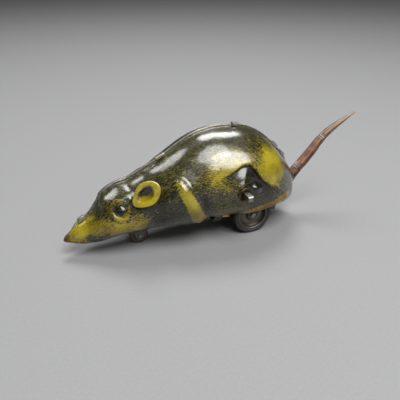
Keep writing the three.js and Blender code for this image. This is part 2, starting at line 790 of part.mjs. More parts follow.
// The coil between two lengths along the tail, as the solid that its turns wind round.
function tailPiece(from, to, steps) {
  const sides = 12;
  const sections = [];
  for (let step = 0; step <= steps; step++) {
    const length = THREE.MathUtils.lerp(from, to, step / steps);
    const centre = tailLine.getPointAt(Math.max(0, length) / tailLength);
    const tangent = tailLine.getTangentAt(Math.max(0, length) / tailLength);
    centre.addScaledVector(tangent, Math.min(0, length));
    const lift = new THREE.Vector3(-tangent.z, 0, tangent.x);
    const radius = tailRadiusAt(length) - (step === 0 || step === steps ? 0.3 : 0);
    const section = [];
    for (let i = 0; i < sides; i++) {
      const angle = (2 * Math.PI * i) / sides;
      const point = centre.clone().addScaledVector(lift, radius * Math.cos(angle));
      point.y += radius * Math.sin(angle);
      section.push(point);
    }
    sections.push(section);
  }
  return new LoftGeometry(sections.reverse(), { capStart: true, capEnd: true });
}

const pegInside = 2.4;
const pegInCoil = 4;
const pegGeometry = rod(tailPegRadius, -pegInside, pegInCoil, 14);
const coilBore = rod(tailPegRadius + fit, -2 * coilInside, pegInCoil + fit, 14)
  .applyQuaternion(pegTurn)
  .translate(tailStart.x, 0, tailStart.z);

// ---- assembly -------------------------------------------------------------------------------------------

const finish = {
  lithoBody: { color: 0x23260f, roughness: 0.25, metalness: 0.2 },
  lithoEar: { color: 0xb99a1e, roughness: 0.3, metalness: 0.2 },
  brass: { color: 0xb08d3f, roughness: 0.35, metalness: 1 },
  steel: { color: 0x8b8d8f, roughness: 0.35, metalness: 1 },
  springSteel: { color: 0x4d5666, roughness: 0.3, metalness: 1 },
  tinplate: { color: 0x9a9a94, roughness: 0.4, metalness: 1 },
  copper: { color: 0x7a4a3a, roughness: 0.45, metalness: 0.8 },
  rubber: { color: 0x1b1a19, roughness: 0.8, metalness: 0 },
  wood: { color: 0x9a6a55, roughness: 0.7, metalness: 0 },
};

const mouse = new THREE.Group();
function add(name, geometry, material, position = [0, 0, 0]) {
  const mesh = new THREE.Mesh(geometry, new THREE.MeshStandardMaterial(finish[material]));
  mesh.name = name;
  mesh.position.set(...position);
  mouse.add(mesh);
  return mesh;
}
const onShaft = (shaft, y = 0) => [shaft.x, y, shaft.y];

add("left_body_shell", leftShell, "lithoBody");
add("right_body_shell", rightShell, "lithoBody");

for (const [name, side, rootAngle, longWay, faces] of ears) {
  const angle = degrees(rootAngle);
  const root = skin(earX, angle).addScaledVector(skinNormal(earX, angle), earClearance);
  const mirror = new THREE.Vector3(1, side, 1);
  const long = new THREE.Vector3(...longWay).normalize().multiply(mirror);
  const across = new THREE.Vector3(...faces).multiply(mirror).cross(long).normalize();
  const facing = long.clone().cross(across);
  const ear = add(name, earCup(), "lithoEar", root.multiply(mirror).toArray());
  ear.setRotationFromMatrix(new THREE.Matrix4().makeBasis(long, across, facing));
}

add("tail_spring_root", cut(tailPiece(-coilInside, bends[0] - hingeGap / 2, 5), coilBore), "copper");
add("tail_spring_middle", tailPiece(bends[0] + hingeGap / 2, bends[1] - hingeGap / 2, 6), "copper");
add("tail_spring_tip", tailPiece(bends[1] + hingeGap / 2, tailLength, 8), "copper");
add("tail_peg", pegGeometry, "wood", tailStart.toArray()).quaternion.copy(pegTurn);

add("left_side_plate", sidePlate(-plateOuter, -plateInner, arborRadius + bearing), "brass");
add("right_side_plate", sidePlate(plateInner, plateOuter, arborPivot + bearing), "brass");
for (const [name, place] of pillars) add(name, pillarGeometry(), "steel", onShaft(place));

add("winding_arbor", arborGeometry, "steel", onShaft(arbor));
add("ratchet_wheel", slab(ratchetShape(), ratchetLow, ratchetHigh), "steel", onShaft(arbor));
add("click", slab(clickShape(), ratchetLow, ratchetHigh, 6), "steel", onShaft(clickPivot)).rotation.y = clickSlope;
add("click_spring", slab(clickSpringShape(), ratchetLow, -plateOuter - fit, 4), "springSteel", onShaft(clickPivot))
  .rotation.y = clickSlope;
add("click_rivet", rod(rivetRadius, ratchetLow - 0.5, -plateOuter - 0.1, 14), "brass", onShaft(clickPivot));
const eyeletInside = sheet - flankY;
const eyeletUnder = -flankY - fit;
const eyeletTop = eyeletUnder - 0.4;
const eyelet = turned(
  [
    [eyeletBore, eyeletInside],
    [eyeletBore, eyeletTop],
    [eyeletRim, eyeletTop],
    [eyeletRim, eyeletUnder],
    [eyeletBore + eyeletWall, eyeletUnder],
    [eyeletBore + eyeletWall, eyeletInside],
    [eyeletBore, eyeletInside],
  ],
  20,
);
add("stem_eyelet", eyelet, "brass", onShaft(arbor));

add("spring_barrel", barrelGeometry, "brass", onShaft(arbor));
add("barrel_cover", coverGeometry, "brass", onShaft(arbor));
const stripEdge = 0.5;
add("mainspring", slab(springShape(), drumLow + stripEdge, barrelGearLow - stripEdge), "springSteel", onShaft(arbor));

// The intermediate pinion runs under the barrel gear, and its wheel drives the pinion on the axle.
const pinionOverhang = 0.4;
const wheelLow = barrelGearHigh + 1.8;
const wheelHigh = wheelLow + 1;
const intermediateArbor = join(
  rod(intermediateRadius, -plateOuter + 0.1, plateOuter - 0.1, 16),
  slab(pinionShape(), barrelGearLow - pinionOverhang, barrelGearHigh + pinionOverhang),
);
const intermediateWheel = wheelShape(intermediateTeeth);
intermediateWheel.holes.push(roundHole(0, 0, intermediateRadius + pressFit));
const intermediateTurn = meshTurn(arbor, barrelTeeth, 0, intermediate);
const pinionTurn = meshTurn(intermediate, intermediateTeeth, intermediateTurn, axle);
add("intermediate_arbor", intermediateArbor, "steel", onShaft(intermediate)).rotation.y = -intermediateTurn;
add(
  "intermediate_wheel",
  slab(intermediateWheel, wheelLow, wheelHigh, 8),
  "brass",
  onShaft(intermediate),
).rotation.y = -intermediateTurn;

const drivePinion = pinionShape();
drivePinion.holes.push(roundHole(0, 0, axleRadius + pressFit));
add(
  "drive_pinion",
  slab(drivePinion, wheelLow - pinionOverhang, wheelHigh + pinionOverhang, 8),
  "steel",
  onShaft(axle),
).rotation.y = -pinionTurn;
add("drive_axle", rod(axleRadius, -axleEnd, axleEnd, 18), "steel", onShaft(axle));
for (const [name, side] of [["left", -1], ["right", 1]]) {
  for (const [piece, geometry, material] of [["drive_wheel", wheelHub(), "tinplate"], ["tyre", tyre(), "rubber"]])
    add(name + "_" + piece, geometry, material, onShaft(axle, side * wheelInner)).rotation.x = side > 0 ? 0 : Math.PI;
}

add("front_strap", cut(bellyStrap(footX[0]), rivetHole, footSlot(footX[0], -1), footSlot(footX[0], 1)), "tinplate");
add("rear_strap", cut(bellyStrap(footX[1]), footSlot(footX[1], -1), footSlot(footX[1], 1)), "tinplate");
add("roller_fork", forkGeometry(), "tinplate");
const rivetHead = tongueRivet + 0.7;
const rivetHeadHeight = 0.5;
const rivetProfile = [
  [0, strapBottom - fit - rivetHeadHeight],
  [rivetHead, strapBottom - fit - rivetHeadHeight],
  [rivetHead, strapBottom - fit],
  [tongueRivet, strapBottom - fit],
  [tongueRivet, tongueHigh + fit],
  [rivetHead, tongueHigh + fit],
  [rivetHead, tongueHigh + fit + rivetHeadHeight],
  [0, tongueHigh + fit + rivetHeadHeight],
];
add("fork_rivet", turned(rivetProfile, 14).rotateX(quarter), "brass", [footX[0], 0, 0]);
add("front_roller", roller(), "wood", [rollerX, 0, rollerRadius]);
add("roller_axle", rod(rollerAxleRadius, -forkHalf - 0.5, forkHalf + 0.5, 14), "steel", [rollerX, 0, rollerRadius]);

// The origin is the middle of the foot of the whole box.
mouse.updateMatrixWorld(true);
const whole = new THREE.Box3().setFromObject(mouse, true);
const middle = whole.getCenter(new THREE.Vector3());
mouse.position.set(-middle.x, -middle.y, -whole.min.z);
const part = new THREE.Group();
part.add(mouse);
export default part;
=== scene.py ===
import bmesh
import bpy
import math
from mathutils import Matrix, Vector


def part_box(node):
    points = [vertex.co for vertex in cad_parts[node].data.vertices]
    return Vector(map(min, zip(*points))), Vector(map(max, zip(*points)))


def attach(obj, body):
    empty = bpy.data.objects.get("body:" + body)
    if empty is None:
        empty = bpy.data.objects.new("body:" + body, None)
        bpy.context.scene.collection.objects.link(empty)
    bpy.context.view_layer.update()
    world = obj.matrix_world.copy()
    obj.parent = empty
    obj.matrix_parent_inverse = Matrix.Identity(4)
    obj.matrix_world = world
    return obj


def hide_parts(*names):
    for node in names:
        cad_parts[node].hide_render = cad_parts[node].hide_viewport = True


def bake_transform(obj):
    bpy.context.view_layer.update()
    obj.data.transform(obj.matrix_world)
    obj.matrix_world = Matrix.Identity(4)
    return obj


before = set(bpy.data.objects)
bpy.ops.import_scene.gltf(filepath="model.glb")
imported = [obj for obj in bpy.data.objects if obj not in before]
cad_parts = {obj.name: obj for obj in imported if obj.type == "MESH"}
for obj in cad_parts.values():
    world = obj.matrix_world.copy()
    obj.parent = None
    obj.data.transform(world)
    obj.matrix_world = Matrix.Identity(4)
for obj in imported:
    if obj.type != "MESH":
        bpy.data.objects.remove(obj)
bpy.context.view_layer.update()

MM = 0.001
nose_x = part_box("left_body_shell")[0].x
seam_y = sum(corner.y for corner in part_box("drive_axle")) / 2


def at(x, y, z):
    return Vector((nose_x + x * MM, seam_y + y * MM, z * MM))


def middle_of(node):
    low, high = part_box(node)
    centre = (low + high) / 2
    return Vector((centre.x - nose_x, centre.y - seam_y, centre.z)) / MM


# ---- the outline of the body ------------------------------------------------------------------------------
# The mouse's back, flank and belly lines, as the frame has them, rounded off a little because tin plate
# takes no sharp bend when it is pressed.

top_line = [
    (0, 9.6), (4, 12.8), (8, 16.4), (12.5, 19.3), (15.5, 22.8), (18, 27), (22, 30.5), (27, 33), (32, 33.8),
    (36, 36), (47, 41.3), (60, 49.2), (67, 51.9), (75, 53), (83, 52.6), (90, 51.1), (97, 47.6),
    (103, 42.8), (109, 36.4), (113.5, 31), (116.5, 25.5), (118.3, 19),
]
side_line = [
    (0, 0.9), (4, 3), (8, 5), (12.5, 6.9), (18, 10), (22, 11.4), (28, 12.4), (36, 13.8), (41, 15.5),
    (47, 17.3), (53, 18.4), (67, 20), (75, 21), (83, 21.6), (90, 21.2), (97, 19.8), (103, 17.6),
    (109, 14), (113.5, 10.5), (116.5, 6.8), (118.3, 2.4),
]
bottom_line = [(0, 7.8), (4, 6.9), (8, 5.6), (15.5, 5.6), (22, 7.2), (32, 8), (60, 7.3), (118.3, 7.8)]
belly_height = 0.47
body_length = 118.3
seam = 0.15
tin = 0.45


def through(points, x):
    """A smooth line through [x, value] pairs that never overshoots them."""
    last = len(points) - 1

    def rise(i):
        return (points[i + 1][1] - points[i][1]) / (points[i + 1][0] - points[i][0])

    def slope(i):
        if i in (0, last):
            return rise(min(i, last - 1))
        before, after = rise(i - 1), rise(i)
        return 2 * before * after / (before + after) if before * after > 0 else 0

    i = 0
    while i < last - 1 and x > points[i + 1][0]:
        i += 1
    span = points[i + 1][0] - points[i][0]
    t = min(1, max(0, (x - points[i][0]) / span))
    ends = points[i][1] * (1 + 2 * t) * (1 - t) ** 2 + points[i + 1][1] * t * t * (3 - 2 * t)
    turns = slope(i) * t * (1 - t) ** 2 - slope(i + 1) * t * t * (1 - t)
    return ends + span * turns


def eased(points, x):
    """The same line averaged over a short way, so that its curvature has no steps."""
    reach = min(2.2, x, body_length - x)
    shares = (-1, -0.66, -0.33, 0, 0.33, 0.66, 1)
    return sum(through(points, x + reach * share) for share in shares) / len(shares)


def step(low, high, value):
    t = min(1, max(0, (value - low) / (high - low)))
    return t * t * (3 - 2 * t)


def in_zone(x, low, high, run):
    return step(low - run, low, x) * (1 - step(high, high + run, x))


axle_at = middle_of("drive_axle")
roller_at = middle_of("front_roller")
stem_at = middle_of("ratchet_wheel")
wheel_reach = (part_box("drive_axle")[1].y - seam_y) / MM + 1.2
fork_reach = (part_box("roller_fork")[1].y - seam_y) / MM + 1.2


def opening(x):
    """Half the width of the open belly."""
    share = 0.72 * step(24, 45, x) * eased(side_line, x)
    for_fork = fork_reach * in_zone(x, roller_at.x - 7, roller_at.x + 7, 5)
    for_wheels = wheel_reach * in_zone(x, axle_at.x - 10, axle_at.x + 10, 7)
    return max(share, for_fork, for_wheels)


class Station:
    """The cross-section of the body at one x."""

    def __init__(self, x):
        self.x = x
        self.top = eased(top_line, x)
        self.bottom = eased(bottom_line, x)
        self.middle = self.bottom + belly_height * (self.top - self.bottom)
        self.width = eased(side_line, x)
        shares = (-1.5, -0.75, 0, 0.75, 1.5)
        near = [min(body_length, max(0, x + share)) for share in shares]
        angles = [math.asin(min(0.995, opening(n) / eased(side_line, n))) for n in near]
        self.edge = math.pi - sum(angles) / len(angles)
        before_nose = 1 - min(1, x / 1.3)
        past_rump = max(0, (x - (body_length - 1.8)) / 1.8)
        self.narrow = math.sqrt(max(0, 1 - before_nose**2)) * math.sqrt(max(0, 1 - past_rump**2))
        self.shrink = math.sqrt(max(0, 1 - before_nose**2)) * (1 - 0.14 * past_rump**2)

    def skin(self, angle):
        """A point of the right half's outside: angle 0 is the seam on the back, pi the one below."""
        reach = self.top - self.middle if angle < math.pi / 2 else self.middle - self.bottom
        y = seam + (self.width - seam) * math.sin(angle) * self.narrow
        return Vector((self.x, y, self.middle + reach * math.cos(angle) * self.shrink))


# ---- relief, print and painted shade of the tin -----------------------------------------------------------
# The dies press the eye, cheek, legs and the fold before the thigh into the flanks, and the sheet is printed
# first: a yellow ground, a green-black coat with brushed edges, and hair strokes. In the fold the yellow and
# the strokes are taken away, and under the knee the yellow, so the dark coat there stands in as painted
# shade.


def from_line(x, z, start, end):
    """Distance from a stretch of line in the side view, how far along it, and which side of it (+ above)."""
    run = (end[0] - start[0], end[1] - start[1])
    length = math.hypot(*run)
    share = ((x - start[0]) * run[0] + (z - start[1]) * run[1]) / length**2
    share = min(1, max(0, share))
    off = (x - start[0] - share * run[0], z - start[1] - share * run[1])
    side = 1 if run[0] * off[1] - run[1] * off[0] > 0 else -1
    return math.hypot(*off), share, side


def bump(distance, reach):
    """1 at the middle, falling smoothly to 0 at the reach."""
    return 1 - step(0, reach, distance)


def oval(x, z, centre, reach_x, reach_z, tilt=0):
    """Distance from a tilted oval's centre, 1 on its edge."""
    turn = math.radians(tilt)
    dx, dz = x - centre[0], z - centre[1]
    u = dx * math.cos(turn) + dz * math.sin(turn)
    w = dz * math.cos(turn) - dx * math.sin(turn)
    return math.hypot(u / reach_x, w / reach_z)


eye = (25, 24.3)
foreleg = [(51.8, 34), (56.6, 23.5), (62.8, 10.5)]
hind_foot = [(85, 13.2), (95, 15.2), (106.5, 18.6)]
# The fold before the thigh: its crisp upper edge from the flank over the knee and down behind it.
fold = [
    (63, 33.5), (70, 36), (76, 38.6), (81, 40.7), (84.6, 40.6), (87.6, 37.2),
    (90, 33.2), (93.5, 29.6), (98.5, 26.2), (104, 22.5),
]


def from_path(x, z, points):
    """Distance, share along the whole path and side, for the nearest of its stretches."""
    count = len(points) - 1
    best = None
    for i in range(count):
        distance, share, side = from_line(x, z, points[i], points[i + 1])
        if best is None or distance < best[0]:
            best = (distance, (i + share) / count, side)
    return best


def fold_depth(x, z):
    """How far the flank is pressed in under the fold's edge."""
    if not (58 < x < 110 and 8 < z < 46):
        return 0
    distance, share, side = from_path(x, z, fold)
    if side > 0:
        return 0
    strength = step(0.02, 0.32, share) * (1 - step(0.72, 1, share))
    return strength * step(0, 1.1, distance) * math.exp(-((distance / 9.5) ** 2))


def relief(x, z):
    """How far the tin stands proud at this place in the side view, in millimetres."""
    height = 0
    if x < 46:
        r = math.hypot(x - eye[0], z - eye[1])
        height += 0.28 * bump(r, 2) - 0.3 * bump(abs(r - 2.5), 1) + 0.14 * bump(abs(r - 3.8), 1.2)
        height += 0.7 * bump(from_line(x, z, (19, 26.6), (29.5, 29.6))[0], 3.4)
        height += 0.8 * bump(oval(x, z, (28, 17.5), 13, 7.5), 1)
        height -= 0.45 * bump(from_line(x, z, (2.5, 9.6), (16.5, 9.4))[0], 1.3)
        height += 0.35 * bump(oval(x, z, (9, 13.5), 7, 4.5), 1)
        height -= 0.35 * bump(oval(x, z, (16.5, 19.5), 4, 3.5), 1)
    height -= 0.9 * bump(abs(x - 41 - 0.12 * (z - 24)), 5) * step(8, 16, z) * (1 - step(34, 42, z))
    height += 0.7 * bump(oval(x, z, (52.5, 31), 11, 9, 65), 1)
    if 44 < x < 76:
        distance, share, side = from_path(x, z, foreleg)
        height += 1.5 * bump(distance, 3.8 + 1.2 * share) ** 0.8 * (1 - 0.2 * share)
        behind = bump(from_line(x, z, (58.6, 30), (66.5, 11.5))[0], 4.6)
        height -= 1.0 * behind * step(31, 26, z) if z > 26 else 1.0 * behind
    height -= 2.5 * fold_depth(x, z) * (1 - bump(math.hypot(x - stem_at.x, z - stem_at.z), 6.5))
    if x > 76:
        height += 1.5 * bump(oval(x, z, (88, 28), 4.6, 3, -35), 1)
        distance, share, side = from_path(x, z, hind_foot)
        height += 1.3 * bump(distance, 3.4) ** 0.8
        toes = bump(abs((x + 0.5 * z - 84) % 2.3 - 1.15), 0.5) * (1 - step(86, 89, x))
        height -= 0.3 * toes * bump(distance, 3)
        height += 0.4 * bump(from_path(x, z, [(96, 29), (103.5, 22.4), (108, 14)])[0], 1.1)
    return height


def yellow(x, z):
    """How much of the yellow ground shows; painted shade takes it away in the fold and under the knee."""
    amount = 0
    if x < 48:
        amount += 0.85 * bump(oval(x, z, (8.5, 13.6), 13, 7, 30), 1) ** 0.5
        amount -= 0.9 * bump(oval(x, z, (11.4, 11), 3, 3), 1)
        amount += 0.85 * bump(oval(x, z, (27, 17), 14, 8, 8), 1) ** 0.5
        amount += 0.25 * bump(oval(x, z, (24, 29), 9, 3.5), 1)
        r = math.hypot(x - eye[0], z - eye[1])
        amount += 0.3 * bump(abs(r - 3.6), 1.3)
        amount *= step(1.6, 2.3, r)
        amount *= 1 - 0.5 * bump(abs(r - 5.2), 1.2)
        amount *= step(6, 9.5, z)
        amount *= 1 - 0.8 * step(34, 42, x)
    leg = from_path(x, z, foreleg)
    amount += 1.1 * (1 - step(1.6 + leg[1], 3 + leg[1], leg[0])) * (1 - 0.5 * bump(leg[1], 0.3))
    amount += 0.75 * bump(oval(x, z, (76, 38), 24, 13, 4), 1) ** 0.7
    amount += 1.15 * bump(oval(x, z, (98.5, 35.5), 11.5, 13, -20), 1) ** 0.75
    amount += 0.3 * bump(oval(x, z, (94, 44), 7, 6), 1)
    amount += 0.4 * bump(oval(x, z, (76, 17), 16, 8), 1)
    foot = from_path(x, z, hind_foot)
    amount += 0.8 * (1 - step(1.8, 3.2, foot[0]))
    # Painted shade: the yellow goes in the fold before the thigh and in a patch under the knee.
    amount *= 1 - 0.97 * min(1, 1.3 * fold_depth(x, z))
    amount *= 1 - 0.9 * bump(oval(x, z, (92, 27), 8, 3.6, -25), 1)
    return min(1, max(0, amount))


def hair(x, z):
    """How thick the olive hair strokes lie on the dark coat; painted shade leaves none in the fold."""
    amount = 0.6
    amount += 0.4 * bump(oval(x, z, (72, 27), 28, 18), 1)
    amount += 0.3 * bump(oval(x, z, (52, 38), 22, 14, 35), 1)
    amount += 0.3 * bump(oval(x, z, (100, 30), 18, 12), 1)
    amount += 0.3 * bump(oval(x, z, (24, 24), 16, 10), 1)
    # The strokes thin out behind the neck, behind the foreleg and towards the lower edge, leaving the coat
    # black there.
    amount *= 1 - 0.95 * bump(oval(x, z, (44, 20), 10, 17), 1)
    amount *= 1 - 0.85 * bump(from_line(x, z, (60.5, 31), (68, 10))[0], 3.4)
    # Painted shade: no strokes in the fold, so the coat there is black.
    amount *= 1 - 0.97 * min(1, 1.8 * fold_depth(x, z))
    amount *= 0.3 + 0.7 * step(6, 13, z)
    if x < 32:
        amount *= step(1.7, 2.4, math.hypot(x - eye[0], z - eye[1]))
    return min(1, max(0, amount))


def warm(x, z):
    """Where the print turns brown: the nose tip, the cheek's spot, the belly and the hind foot."""
    amount = 1.0 * (1 - step(1, 3.6, x))
    amount += 0.7 * bump(oval(x, z, (18.6, 16.6), 3, 2.4), 1)
    amount += 0.55 * bump(oval(x, z, (74, 15), 16, 6), 1)
    amount += 0.8 * bump(from_path(x, z, hind_foot)[0], 4.5)
    return min(1, max(0, amount))


# ---- printed tin and painted shade ------------------------------------------------------------------------
# The print is varnished, so it shines like glass over a slightly wavy sheet. The varnish is rubbed and
# scratched, and bare tin shows along the seam and the raw edges. The print's colours carry the painted shade
# of the fold before the thigh.


def new_material(name):
    material = bpy.data.materials.new(name)
    material.use_nodes = True
    tree = material.node_tree
    tree.nodes.clear()
    output = tree.nodes.new("ShaderNodeOutputMaterial")
    shader = tree.nodes.new("ShaderNodeBsdfPrincipled")
    tree.links.new(shader.outputs["BSDF"], output.inputs["Surface"])
    return material, tree, shader


def node(tree, kind, links=None, **settings):
    """A node with its settings, its inputs linked or set by name or number."""
    made = tree.nodes.new(kind)
    for key, value in settings.items():
        setattr(made, key, value)
    for key, value in (links or {}).items():
        if isinstance(value, bpy.types.NodeSocket):
            tree.links.new(value, made.inputs[key])
        else:
            made.inputs[key].default_value = value
    return made


def math_node(tree, operation, first, second=0.0, clamp=False):
    made = node(tree, "ShaderNodeMath", {0: first, 1: second}, operation=operation, use_clamp=clamp)
    return made.outputs[0]


def times(tree, first, second, clamp=False):
    return math_node(tree, "MULTIPLY", first, second, clamp)


def plus(tree, first, second):
    return math_node(tree, "ADD", first, second)


def less(tree, first, second, clamp=False):
    return math_node(tree, "SUBTRACT", first, second, clamp)


def ramp(tree, value, low, high, out_low=0.0, out_high=1.0):
    """A value carried smoothly from one range to another."""
    inputs = {"Value": value, "From Min": low, "From Max": high, "To Min": out_low, "To Max": out_high}
    return node(tree, "ShaderNodeMapRange", inputs, interpolation_type="SMOOTHSTEP").outputs["Result"]


def mix(tree, factor, first, second):
    inputs = {0: factor, 6: first, 7: second}
    return node(tree, "ShaderNodeMix", inputs, data_type="RGBA").outputs[2]


def noise(tree, vector, scale, detail=2.0, roughness=0.5, distortion=0.0):
    inputs = {"Vector": vector, "Scale": scale, "Detail": detail, "Roughness": roughness}
    inputs["Distortion"] = distortion
    return node(tree, "ShaderNodeTexNoise", inputs).outputs["Fac"]


def stretched(tree, vector, scale):
    return node(tree, "ShaderNodeMapping", {"Vector": vector, "Scale": scale}).outputs["Vector"]


def make_wear_group():
    """Fine scratches, rubbed patches and stains over a piece, with their height."""
    group = bpy.data.node_groups.new("wear", "ShaderNodeTree")
    face = group.interface
    face.new_socket("Vector", in_out="INPUT", socket_type="NodeSocketVector")
    amount = face.new_socket("Amount", in_out="INPUT", socket_type="NodeSocketFloat")
    amount.default_value = 0.5
    for name in ("Scratches", "Patches", "Grain", "Height"):
        face.new_socket(name, in_out="OUTPUT", socket_type="NodeSocketFloat")
    inside = group.nodes.new("NodeGroupInput")
    outside = group.nodes.new("NodeGroupOutput")
    place, strength = inside.outputs["Vector"], inside.outputs["Amount"]
    lines = []
    for scale in ((90, 900, 500), (1000, 140, 600), (700, 500, 110)):
        streak = noise(group, stretched(group, place, scale), 1.0, 3.0, 0.6, 0.4)
        lines.append(ramp(group, streak, 0.66, 0.74))
    scratch = math_node(group, "MAXIMUM", math_node(group, "MAXIMUM", lines[0], lines[1]), lines[2])
    where = ramp(group, noise(group, place, 160.0, 3.0), 0.42, 0.62)
    scratch = times(group, times(group, scratch, where), strength, True)
    patches = ramp(group, noise(group, place, 230.0, 5.0, 0.62), 0.5, 0.7)
    grain = noise(group, place, 2600.0, 4.0, 0.6)
    height = less(group, times(group, grain, 0.4), scratch)
    for name, value in (("Scratches", scratch), ("Patches", patches), ("Grain", grain), ("Height", height)):
        group.links.new(value, outside.inputs[name])
    return group


wear_group = make_wear_group()


def object_place(tree):
    return tree.nodes.new("ShaderNodeTexCoord").outputs["Object"]


def wear(tree, amount):
    made = tree.nodes.new("ShaderNodeGroup")
    made.node_tree = wear_group
    tree.links.new(object_place(tree), made.inputs["Vector"])
    made.inputs["Amount"].default_value = amount
    return made.outputs


def bumped(tree, shader, height, distance, strength=1.0):
    made = node(tree, "ShaderNodeBump", {"Height": height, "Distance": distance, "Strength": strength})
    tree.links.new(made.outputs["Normal"], shader.inputs["Normal"])
    return made.outputs["Normal"]


# The coat's black is also the colour of the painted shade in the fold before the thigh.
coat_and_shade_black = (0.0022, 0.0024, 0.0012, 1)
coat_olive = (0.13, 0.122, 0.026, 1)
ground_yellow = (0.50, 0.40, 0.018, 1)
ground_deep = (0.25, 0.19, 0.009, 1)
warm_brown = (0.16, 0.05, 0.012, 1)
bare_tin = (0.46, 0.44, 0.38, 1)


def make_printed_tin_and_shade():
    material, tree, shader = new_material("litho_body")
    # The print attribute carries painted shade too: its yellow and stroke channels are taken away in the
    # fold.
    print_and_shade_colour = node(tree, "ShaderNodeAttribute", attribute_name="print")
    parts = node(tree, "ShaderNodeSeparateColor", {"Color": print_and_shade_colour.outputs["Color"]}).outputs
    ground, strokes, brown = parts["Red"], parts["Green"], parts["Blue"]
    bare = node(tree, "ShaderNodeAttribute", attribute_name="bare").outputs["Fac"]
    lie = node(tree, "ShaderNodeUVMap", uv_map="hair").outputs["UV"]
    place = object_place(tree)

    # Hair strokes: noise drawn out along the lie of the coat, in two sizes.
    fine = noise(tree, stretched(tree, lie, (0.9, 4.2, 1)), 1.0, 2.0, 0.6, 0.6)
    coarse = noise(tree, stretched(tree, lie, (0.4, 1.5, 1)), 1.0, 3.0, 0.6, 0.9)
    fine_share = 0.6
    stroke = plus(tree, times(tree, fine, fine_share), times(tree, coarse, 1 - fine_share))
    cloud = noise(tree, place, 210.0, 4.0, 0.55)

    # The ground shows where the stroke noise rises over the coat's cover.
    stroke_edge = 3.4
    cloud_edge = 0.5
    cover = plus(tree, ground, times(tree, less(tree, stroke, 0.5), stroke_edge))
    cover = plus(tree, cover, times(tree, less(tree, cloud, 0.5), cloud_edge))
    shown = ramp(tree, cover, 0.2, 0.8)
    hairs = times(tree, ramp(tree, stroke, 0.44, 0.6), strokes)

    warmth = ramp(tree, noise(tree, place, 95.0, 3.0), 0.35, 0.7)
    yellows = mix(tree, warmth, ground_yellow, ground_deep)
    colour = mix(tree, hairs, coat_and_shade_black, coat_olive)
    colour = mix(tree, shown, colour, yellows)
    soft = {"data_type": "RGBA", "blend_type": "SOFT_LIGHT"}
    browned = node(tree, "ShaderNodeMix", {0: brown, 6: colour, 7: warm_brown}, **soft)
    colour = mix(tree, times(tree, brown, 0.45), browned.outputs[2], warm_brown)

    used = wear(tree, 0.8)
    rubbed = times(tree, bare, ramp(tree, noise(tree, place, 700.0, 4.0, 0.7), 0.38, 0.52))
    worn = math_node(tree, "MAXIMUM", rubbed, times(tree, used["Scratches"], 0.35), True)
    colour = mix(tree, worn, colour, bare_tin)
    tree.links.new(colour, shader.inputs["Base Color"])
    tree.links.new(times(tree, worn, 0.9), shader.inputs["Metallic"])
    rough = plus(tree, 0.3, times(tree, used["Patches"], 0.16))
    tree.links.new(rough, shader.inputs["Roughness"])
    shader.inputs["Specular IOR Level"].default_value = 0.25
    shader.inputs["Coat IOR"].default_value = 1.5
    shader.inputs["Coat Roughness"].default_value = 0.17
    coat = less(tree, 1.0, times(tree, worn, 0.8), True)
    tree.links.new(coat, shader.inputs["Coat Weight"])

    # The print lies in low relief, and the sheet itself is a little wavy.
    wavy = noise(tree, place, 120.0, 2.0)
    wave_share = 0.9
    wear_share = 0.05
    height = plus(tree, times(tree, wavy, wave_share), times(tree, used["Height"], wear_share))
    height = plus(tree, height, times(tree, stroke, 0.05))
    made = node(tree, "ShaderNodeBump", {"Height": height, "Distance": 0.00035, "Strength": 1.0})
    tree.links.new(made.outputs["Normal"], shader.inputs["Normal"])
    tree.links.new(made.outputs["Normal"], shader.inputs["Coat Normal"])
    return material


def make_metal(name, colour, stain, roughness, amount=0.6, metallic=1.0):
    """A bare metal with stains, scratches and grain."""
    material, tree, shader = new_material(name)
    used = wear(tree, amount)
    dull = mix(tree, used["Patches"], colour, stain)
    bright = tuple(min(1, 1.35 * part) for part in colour[:3]) + (1,)
    tree.links.new(mix(tree, used["Scratches"], dull, bright), shader.inputs["Base Color"])
    shader.inputs["Metallic"].default_value = metallic
    spread = times(tree, used["Patches"], 0.25)
    tree.links.new(plus(tree, roughness, spread), shader.inputs["Roughness"])
    bumped(tree, shader, used["Height"], 0.00005, 0.6)
    return material


printed_tin_and_shade = make_printed_tin_and_shade()
inside_tin = make_metal("tinplate_inside", (0.22, 0.19, 0.12, 1), (0.08, 0.055, 0.03, 1), 0.42)


# ---- the two body halves ----------------------------------------------------------------------------------
# Each half is pressed from one sheet. A flange along the back stands up against the other half's, and the
# belly is open for the movement. The left half has the stem's hole, and both share the tail's.

stations = 320
flange_steps = [(0, 1), (0.55, 1), (0.9, 0.94), (1, 0.75), (1, 0.32), (1.35, 0.07)]
skin_steps = 132
flange_height = 1.1
flange_thickness = 0.45
tail_start = Vector((117.8, 0, 18.9))
tail_out = Vector((2.4, 0, 3.4)).normalized()
tail_hole = 3.2
stem_hole = 2.75


def station_x(share):
    even = share**1.25
    waved = (1 - math.cos(math.pi * share)) / 2
    return body_length * (even + waved) / 2


def half_point(station, row):
    """Where a row of the grid lies: first the flange's rows, then the skin's."""
    rise = eased(top_line, min(body_length, station.x + 0.3)) - eased(top_line, max(0, station.x - 0.3))
    up = Vector((-rise, 0, 0.6)).normalized()
    thick = min(flange_thickness, 0.5 * station.width) * station.narrow
    foot = math.asin(min(0.7, 1.5 * thick / max(0.05, station.width * station.narrow)))
    if row < len(flange_steps):
        out, lift = flange_steps[row]
        height = flange_height * in_zone(station.x, 7, 112, 4) * lift
        return station.skin(0) + Vector((0, out * thick, 0)) + up * height, foot * out / 1.5
    share = (row - len(flange_steps) + 1) / skin_steps
    angle = foot + (station.edge - foot) * share
    return station.skin(angle), angle


